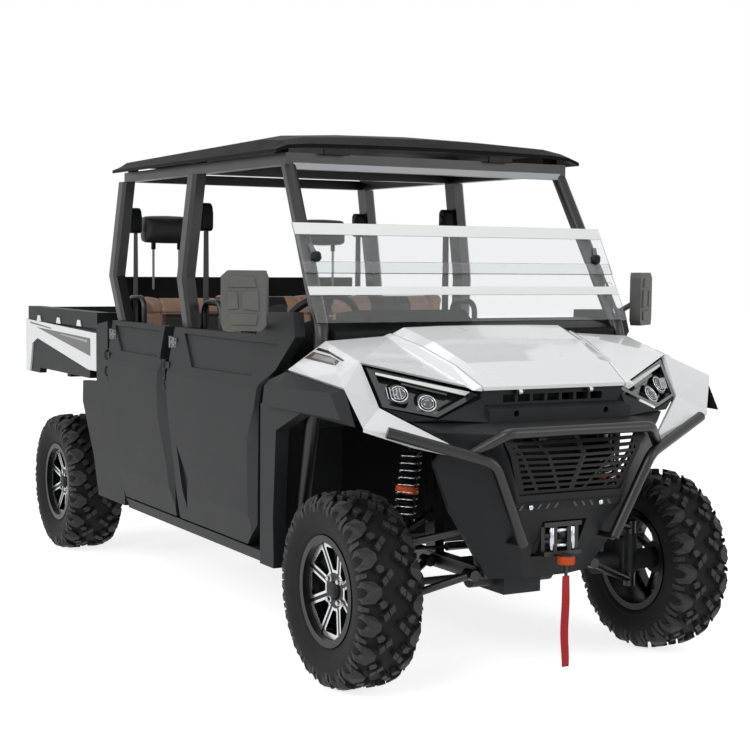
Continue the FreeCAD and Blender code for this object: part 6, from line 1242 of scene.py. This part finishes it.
    def hinges(self, side: int, word: str) -> None:
        """Builds the leaves and screws of the door hinges."""
        low, high = self.leaf_z
        for hinge_x, row in zip(self.hinge_x, AXLES):
            door = f"door_{row}_{word}"
            middle = Vector((hinge_x + 0.055, side * 0.9, (low + high) / 2))
            hit = ray_tree(door).ray_cast(middle, Vector((0, -side, 0)))[0]
            face = abs(hit.y) if hit else self.door_face
            corners = ((0.010, low), (0.092, low + 0.006), (0.092, high - 0.006), (0.010, high))
            leaf = Form().prism(on_side([(hinge_x + dx, face - 0.002, z) for dx, z in corners], side),
                                (0, side * 0.007, 0))
            leaf.make(f"hinge_leaf_{row}_{word}", Look.BOLT, "machined_steel", door, bevel=0.0012)
            screws = Form()
            for dx, dz in self.screws:
                screws.lathe(list(self.screw), (hinge_x + dx, side * (face + 0.005), low + dz), (0, side, 0), steps=12)
            screws.make(f"hinge_screws_{row}_{word}", Look.STEEL, "machined_steel", door, smooth=True)

    def roof(self) -> None:
        """Builds the bright strip under the roof's front edge and the clips that hold the roof."""
        low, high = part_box("cage_roof_frame")
        strip = Form().prism([(high[0] + out, -self.header_half, low[2] + up) for out, up in self.header],
                             (0, 2 * self.header_half, 0))
        strip.make("roof_header_strip", Look.GREY_FILM, "bright_strip", bevel=0.001)
        clips = Form()
        low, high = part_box("roof_panel")
        for y in self.clip_y:
            clips.box((high[0] - 0.004, y - self.clip_half, low[2] - 0.002),
                      (high[0] + 0.006, y + self.clip_half, low[2] + 0.022))
        clips.make("roof_clips", Look.GRILLE, "dark_plastic", bevel=0.002)

    def nose(self) -> None:
        """Builds the slotted strip on the bumper cover, and its bolts."""
        film("cover_strip", "bumper_cover", [(self.cover_x, y, z) for y, z in self.cover_strip], 24, Look.GRILLE,
             "dark_plastic", proud=0.0030)
        top, foot = self.slot_z
        for number, y in enumerate(self.slots, 1):
            lean = self.slot_lean if y < 0 else -self.slot_lean
            corners = [(self.cover_x, y - self.slot_half + lean, top), (self.cover_x, y + self.slot_half + lean, top),
                       (self.cover_x, y + self.slot_half - lean, foot), (self.cover_x, y - self.slot_half - lean, foot)]
            film(f"cover_slot_{number}", "bumper_cover", corners, 2, Look.BLACK_FILM, "dark_plastic", proud=0.0040)
        bolts = Form()
        for y in (-0.168, 0.128):
            bolts.lathe([(0.0100, -0.012), (0.0100, 0.002), (0.0072, 0.0062), (0.001, 0.0068)], (1.9480, y, 0.6490),
                        (1, 0, 0), steps=20)
        bolts.make("cover_bolts", Look.CHROME, "machined_steel", smooth=True)


@dataclass
class MirrorTrim:
    """The moulded panels on the front of each mirror's head, and the glass on its back.

    Corners are given as shares of the head's half width and half height.
    """

    centre: tuple[float, float, float] = (1.170, 0.880, 1.335)
    turn: float = 35.0
    depth: float = 0.045
    half_width: float = 0.0825
    half_height: float = 0.108
    panels: tuple[tuple[tuple[float, float], ...], ...] = (
        ((-0.60, 0.44), (0.66, 0.44), (0.50, 0.80), (-0.44, 0.80)),
        ((-0.70, -0.34), (0.02, -0.28), (0.10, 0.30), (-0.66, 0.34)),
        ((0.20, -0.26), (0.68, -0.30), (0.68, 0.30), (0.26, 0.28)),
        ((-0.58, -0.80), (0.54, -0.80), (0.66, -0.42), (-0.66, -0.44)))
    glass: tuple[tuple[float, float], ...] = ((-0.80, -0.62), (-0.60, -0.84), (0.60, -0.84), (0.80, -0.62),
                                              (0.80, 0.62), (0.60, 0.84), (-0.60, 0.84), (-0.80, 0.62))

    def build(self) -> None:
        """Builds the trim of both mirrors on the bodies that carry them."""
        turn = math.radians(self.turn)
        bodies = {row: body for body, rows in frame["record"]["behaviour"]["bodies"].items() for row in rows}
        for side, word in SIDES:
            across = Vector((-math.sin(turn), side * math.cos(turn), 0)) * self.half_width
            facing = Vector((math.cos(turn), side * math.sin(turn), 0))
            tall = Vector((0, 0, self.half_height))
            centre = on_side([self.centre], side)[0]
            form = Form()
            for panel in self.panels:
                form.prism([centre + across * u + tall * v + facing * (self.depth - 0.002) for u, v in panel],
                           facing * 0.0075)
            body = bodies[f"mirror_{word}"]
            form.make(f"mirror_panels_{word}", Look.SHELL, "dark_plastic", body, bevel=0.0025)
            glass = Form().prism([centre + across * u + tall * v + facing * 0.001 for u, v in self.glass],
                                 facing * -0.003)
            glass.make(f"mirror_glass_{word}", Look.MIRROR_GLASS, "machined_steel", body, bevel=0.001)
            LOG.info("built the mirror trim %s", word)


@dataclass
class FrontTrim:
    """The screen's clamps, the winch's rollers and stopper, and the dampers' springs and collars."""

    clamp: tuple[float, float, float] = (1.2245, 0.628, 1.493)
    clamp_top: tuple[float, float, float] = (1.1975, 0.640, 1.5385)
    screen_facing: tuple[float, float, float] = (0.857, 0, 0.515)
    winch_face: float = 1.892
    stopper: tuple[float, float, float] = (1.926, 0.0, 0.452)
    damper_foot: tuple[float, float, float] = (1.570, 0.455, 0.531)
    damper_head: tuple[float, float, float] = (1.570, 0.415, 0.840)
    collar_z: float = 0.677
    coils: int = 9
    coil_steps: int = 16
    coil_start: float = 0.14
    coil_share: float = 0.74
    coil_radius: float = 0.0385
    wire_radius: float = 0.0042

    def build(self) -> None:
        """Builds the trim at the front."""
        self.clamps()
        self.winch()
        self.springs()
        LOG.info("built the front trim")

    def clamps(self) -> None:
        """Builds the two turned clamps that join the halves of the screen."""
        knobs, arms = Form(), Form()
        facing = Vector(self.screen_facing)
        for side, _ in SIDES:
            place, top = on_side([self.clamp, self.clamp_top], side)
            knobs.lathe([(0.021, -0.003), (0.021, 0.006), (0.017, 0.012), (0.013, 0.013), (0.013, 0.020),
                         (0.010, 0.024), (0.001, 0.025)], place, facing, steps=18)
            arms.prism([place + Vector((0, -0.012, 0)), place + Vector((0, 0.012, 0)), top + Vector((0, 0.009, 0)),
                        top + Vector((0, -0.009, 0))], facing * 0.006)
        knobs.make("screen_clamp_knobs", Look.GRILLE, "dark_plastic", smooth=True)
        arms.make("screen_clamp_arms", Look.STEEL, "machined_steel", bevel=0.0015)

    def winch(self) -> None:
        """Builds the rollers of the fairlead and the orange stopper."""
        rollers = Form()
        for y in (-0.044, 0.044):
            rollers.lathe([(0.0075, -0.040), (0.0100, -0.038), (0.0100, 0.038), (0.0075, 0.040)],
                          (self.winch_face + 0.006, y, 0.524), UPWARD, steps=18)
        for z in (0.497, 0.551):
            rollers.lathe([(0.0060, -0.031), (0.0085, -0.029), (0.0085, 0.029), (0.0060, 0.031)],
                          (self.winch_face, 0, z), (0, 1, 0), steps=18)
        rollers.make("fairlead_rollers", Look.CHROME, "machined_steel", smooth=True)
        stop = Form().lathe([(0.006, -0.016), (0.027, -0.016), (0.0305, -0.012), (0.0310, 0.0), (0.0305, 0.012),
                             (0.027, 0.016), (0.014, 0.016), (0.012, 0.012), (0.004, 0.012)], self.stopper, UPWARD,
                            steps=36)
        stop.make("winch_stopper", Look.ORANGE, "machined_steel", smooth=True)

    def springs(self) -> None:
        """Builds the wire of the front springs, and the orange rubber collar on each."""
        for side, word in SIDES:
            foot, head = on_side([self.damper_foot, self.damper_head], side)
            axis = (head - foot).normalized()
            place = foot.lerp(head, (self.collar_z - foot.z) / (head.z - foot.z))
            across = axis.orthogonal().normalized()
            up = axis.cross(across)
            steps = self.coils * self.coil_steps
            coil = []
            for i in range(steps + 1):
                turn = 2 * math.pi * i / self.coil_steps
                coil.append(foot.lerp(head, self.coil_start + self.coil_share * i / steps)
                            + (across * math.cos(turn) + up * math.sin(turn)) * self.coil_radius)
            Form().sweep(coil, self.wire_radius).make(f"spring_wire_{word}", Look.SPRING, "damper_metal",
                                                      smooth=True)
            collar = Form().lathe([(0.034, -0.014), (0.0405, -0.012), (0.0415, 0.0), (0.0405, 0.012),
                                   (0.034, 0.014)], place, axis, steps=32)
            collar.make(f"spring_collar_{word}", Look.ORANGE, "damper_metal", smooth=True)


# Stage

@dataclass
class Studio:
    """The pale floor, the soft lamps and the camera at the photograph's angle.

    A lamp is its name, its place, the point that it faces, its width and height, and its power in watts.
    """

    camera_at: Vector = field(default_factory=lambda: Vector((6.295, -3.194, 1.480)))
    yaw: float = 150.95
    pitch: float = -4.17
    roll: float = 0.55
    lens: float = 74.99
    floor_size: float = 60.0
    floor_drop: float = 0.001
    floor_glow: float = 0.80
    fill: float = 0.40
    lamps: tuple = (("key_lamp", (4.5, -5.0, 4.5), (0.6, 0, 0.9), (3.0, 3.0), 165),
                    ("front_fill_lamp", (6.5, 3.0, 2.8), (0.8, 0, 0.9), (3.0, 3.0), 70),
                    ("side_lamp", (-1.5, -6.0, 3.0), (-0.6, 0, 0.9), (4.0, 2.0), 100),
                    ("top_lamp", (0.3, 0.0, 5.5), (0.3, 0, 0), (5.0, 2.5), 70))

    def camera(self) -> None:
        """Places the camera."""
        yaw, pitch, roll = (math.radians(angle) for angle in (self.yaw, self.pitch, self.roll))
        look = Vector((math.cos(yaw) * math.cos(pitch), math.sin(yaw) * math.cos(pitch), math.sin(pitch)))
        right = look.cross(Vector(UPWARD)).normalized()
        up = right.cross(look)
        right, up = (right * math.cos(roll) + up * math.sin(roll), up * math.cos(roll) - right * math.sin(roll))
        data = bpy.data.cameras.new("photo_camera")
        data.lens = self.lens
        data.sensor_width = 36.0
        data.sensor_fit = "HORIZONTAL"
        data.clip_end = 200.0
        made = place_object("photo_camera", data)
        made.matrix_world = Matrix.Translation(self.camera_at) @ Matrix((right, up, -look)).transposed().to_4x4()
        bpy.context.scene.camera = made

    def light(self) -> None:
        """Places the soft area lamps."""
        for name, at, aim, size, power in self.lamps:
            data = bpy.data.lights.new(name, "AREA")
            data.shape = "RECTANGLE"
            data.size, data.size_y = size
            data.energy = power
            made = place_object(name, data)
            made.location = at
            made.rotation_euler = (Vector(aim) - Vector(at)).to_track_quat("-Z", "Y").to_euler()

    def floor(self) -> None:
        """Lays the pale floor, which glows to the camera just enough to look white and keeps its shadows."""
        material, tree = empty_material("pale_floor")
        wiring = Wiring(tree)
        paint = wiring.surface({"Base Color": linear("#DADADA"), "Specular IOR Level": 0.0},
                               {"Roughness": wiring.spread(wiring.noise(0.8, 2.0), 0.8, 0.95)})
        glow = add(tree, "ShaderNodeEmission", {"Color": (1, 1, 1, 1), "Strength": self.floor_glow})
        lit = add(tree, "ShaderNodeAddShader", links={0: paint, 1: glow.outputs["Emission"]})
        add(tree, "ShaderNodeOutputMaterial",
            links={"Surface": wiring.mix(wiring.seen(), paint, lit.outputs["Shader"])})
        half = self.floor_size / 2
        mesh = bpy.data.meshes.new("floor")
        mesh.from_pydata([(-half, -half, 0), (half, -half, 0), (half, half, 0), (-half, half, 0)], [], [(0, 1, 2, 3)])
        mesh.materials.append(material)
        made = place_object("floor", mesh)
        made.location.z = -self.floor_drop

    def world(self) -> None:
        """Gives a white backdrop and an even soft fill light."""
        world = bpy.data.worlds.new("studio")
        bpy.context.scene.world = world
        world.use_nodes = True
        tree = world.node_tree
        tree.nodes.clear()
        wiring = Wiring(tree)
        fill, backdrop = (add(tree, "ShaderNodeBackground", {"Color": (1, 1, 1, 1), "Strength": strength})
                          for strength in (self.fill, 1.0))
        add(tree, "ShaderNodeOutputWorld",
            links={"Surface": wiring.mix(wiring.seen(), fill.outputs[0], backdrop.outputs[0])})

    def build(self) -> None:
        """Builds the stage."""
        bpy.context.scene.view_settings.view_transform = "Standard"
        self.camera()
        self.floor()
        self.world()
        self.light()
        LOG.info("built the stage")


def main() -> None:
    """Builds the stage and every sub-assembly in order."""
    logging.basicConfig(level=logging.INFO, format="%(name)s: %(message)s")
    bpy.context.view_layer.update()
    for finish in FINISHES:
        finish.build()
    Studio().build()
    dress_nodes()
    for assembly in (Seats(), Belts(), PullStrap(), WheelTrim(), LampTrim(), BodyTrim(), MirrorTrim(), FrontTrim()):
        assembly.build()


if __name__ == "__main__":
    main()
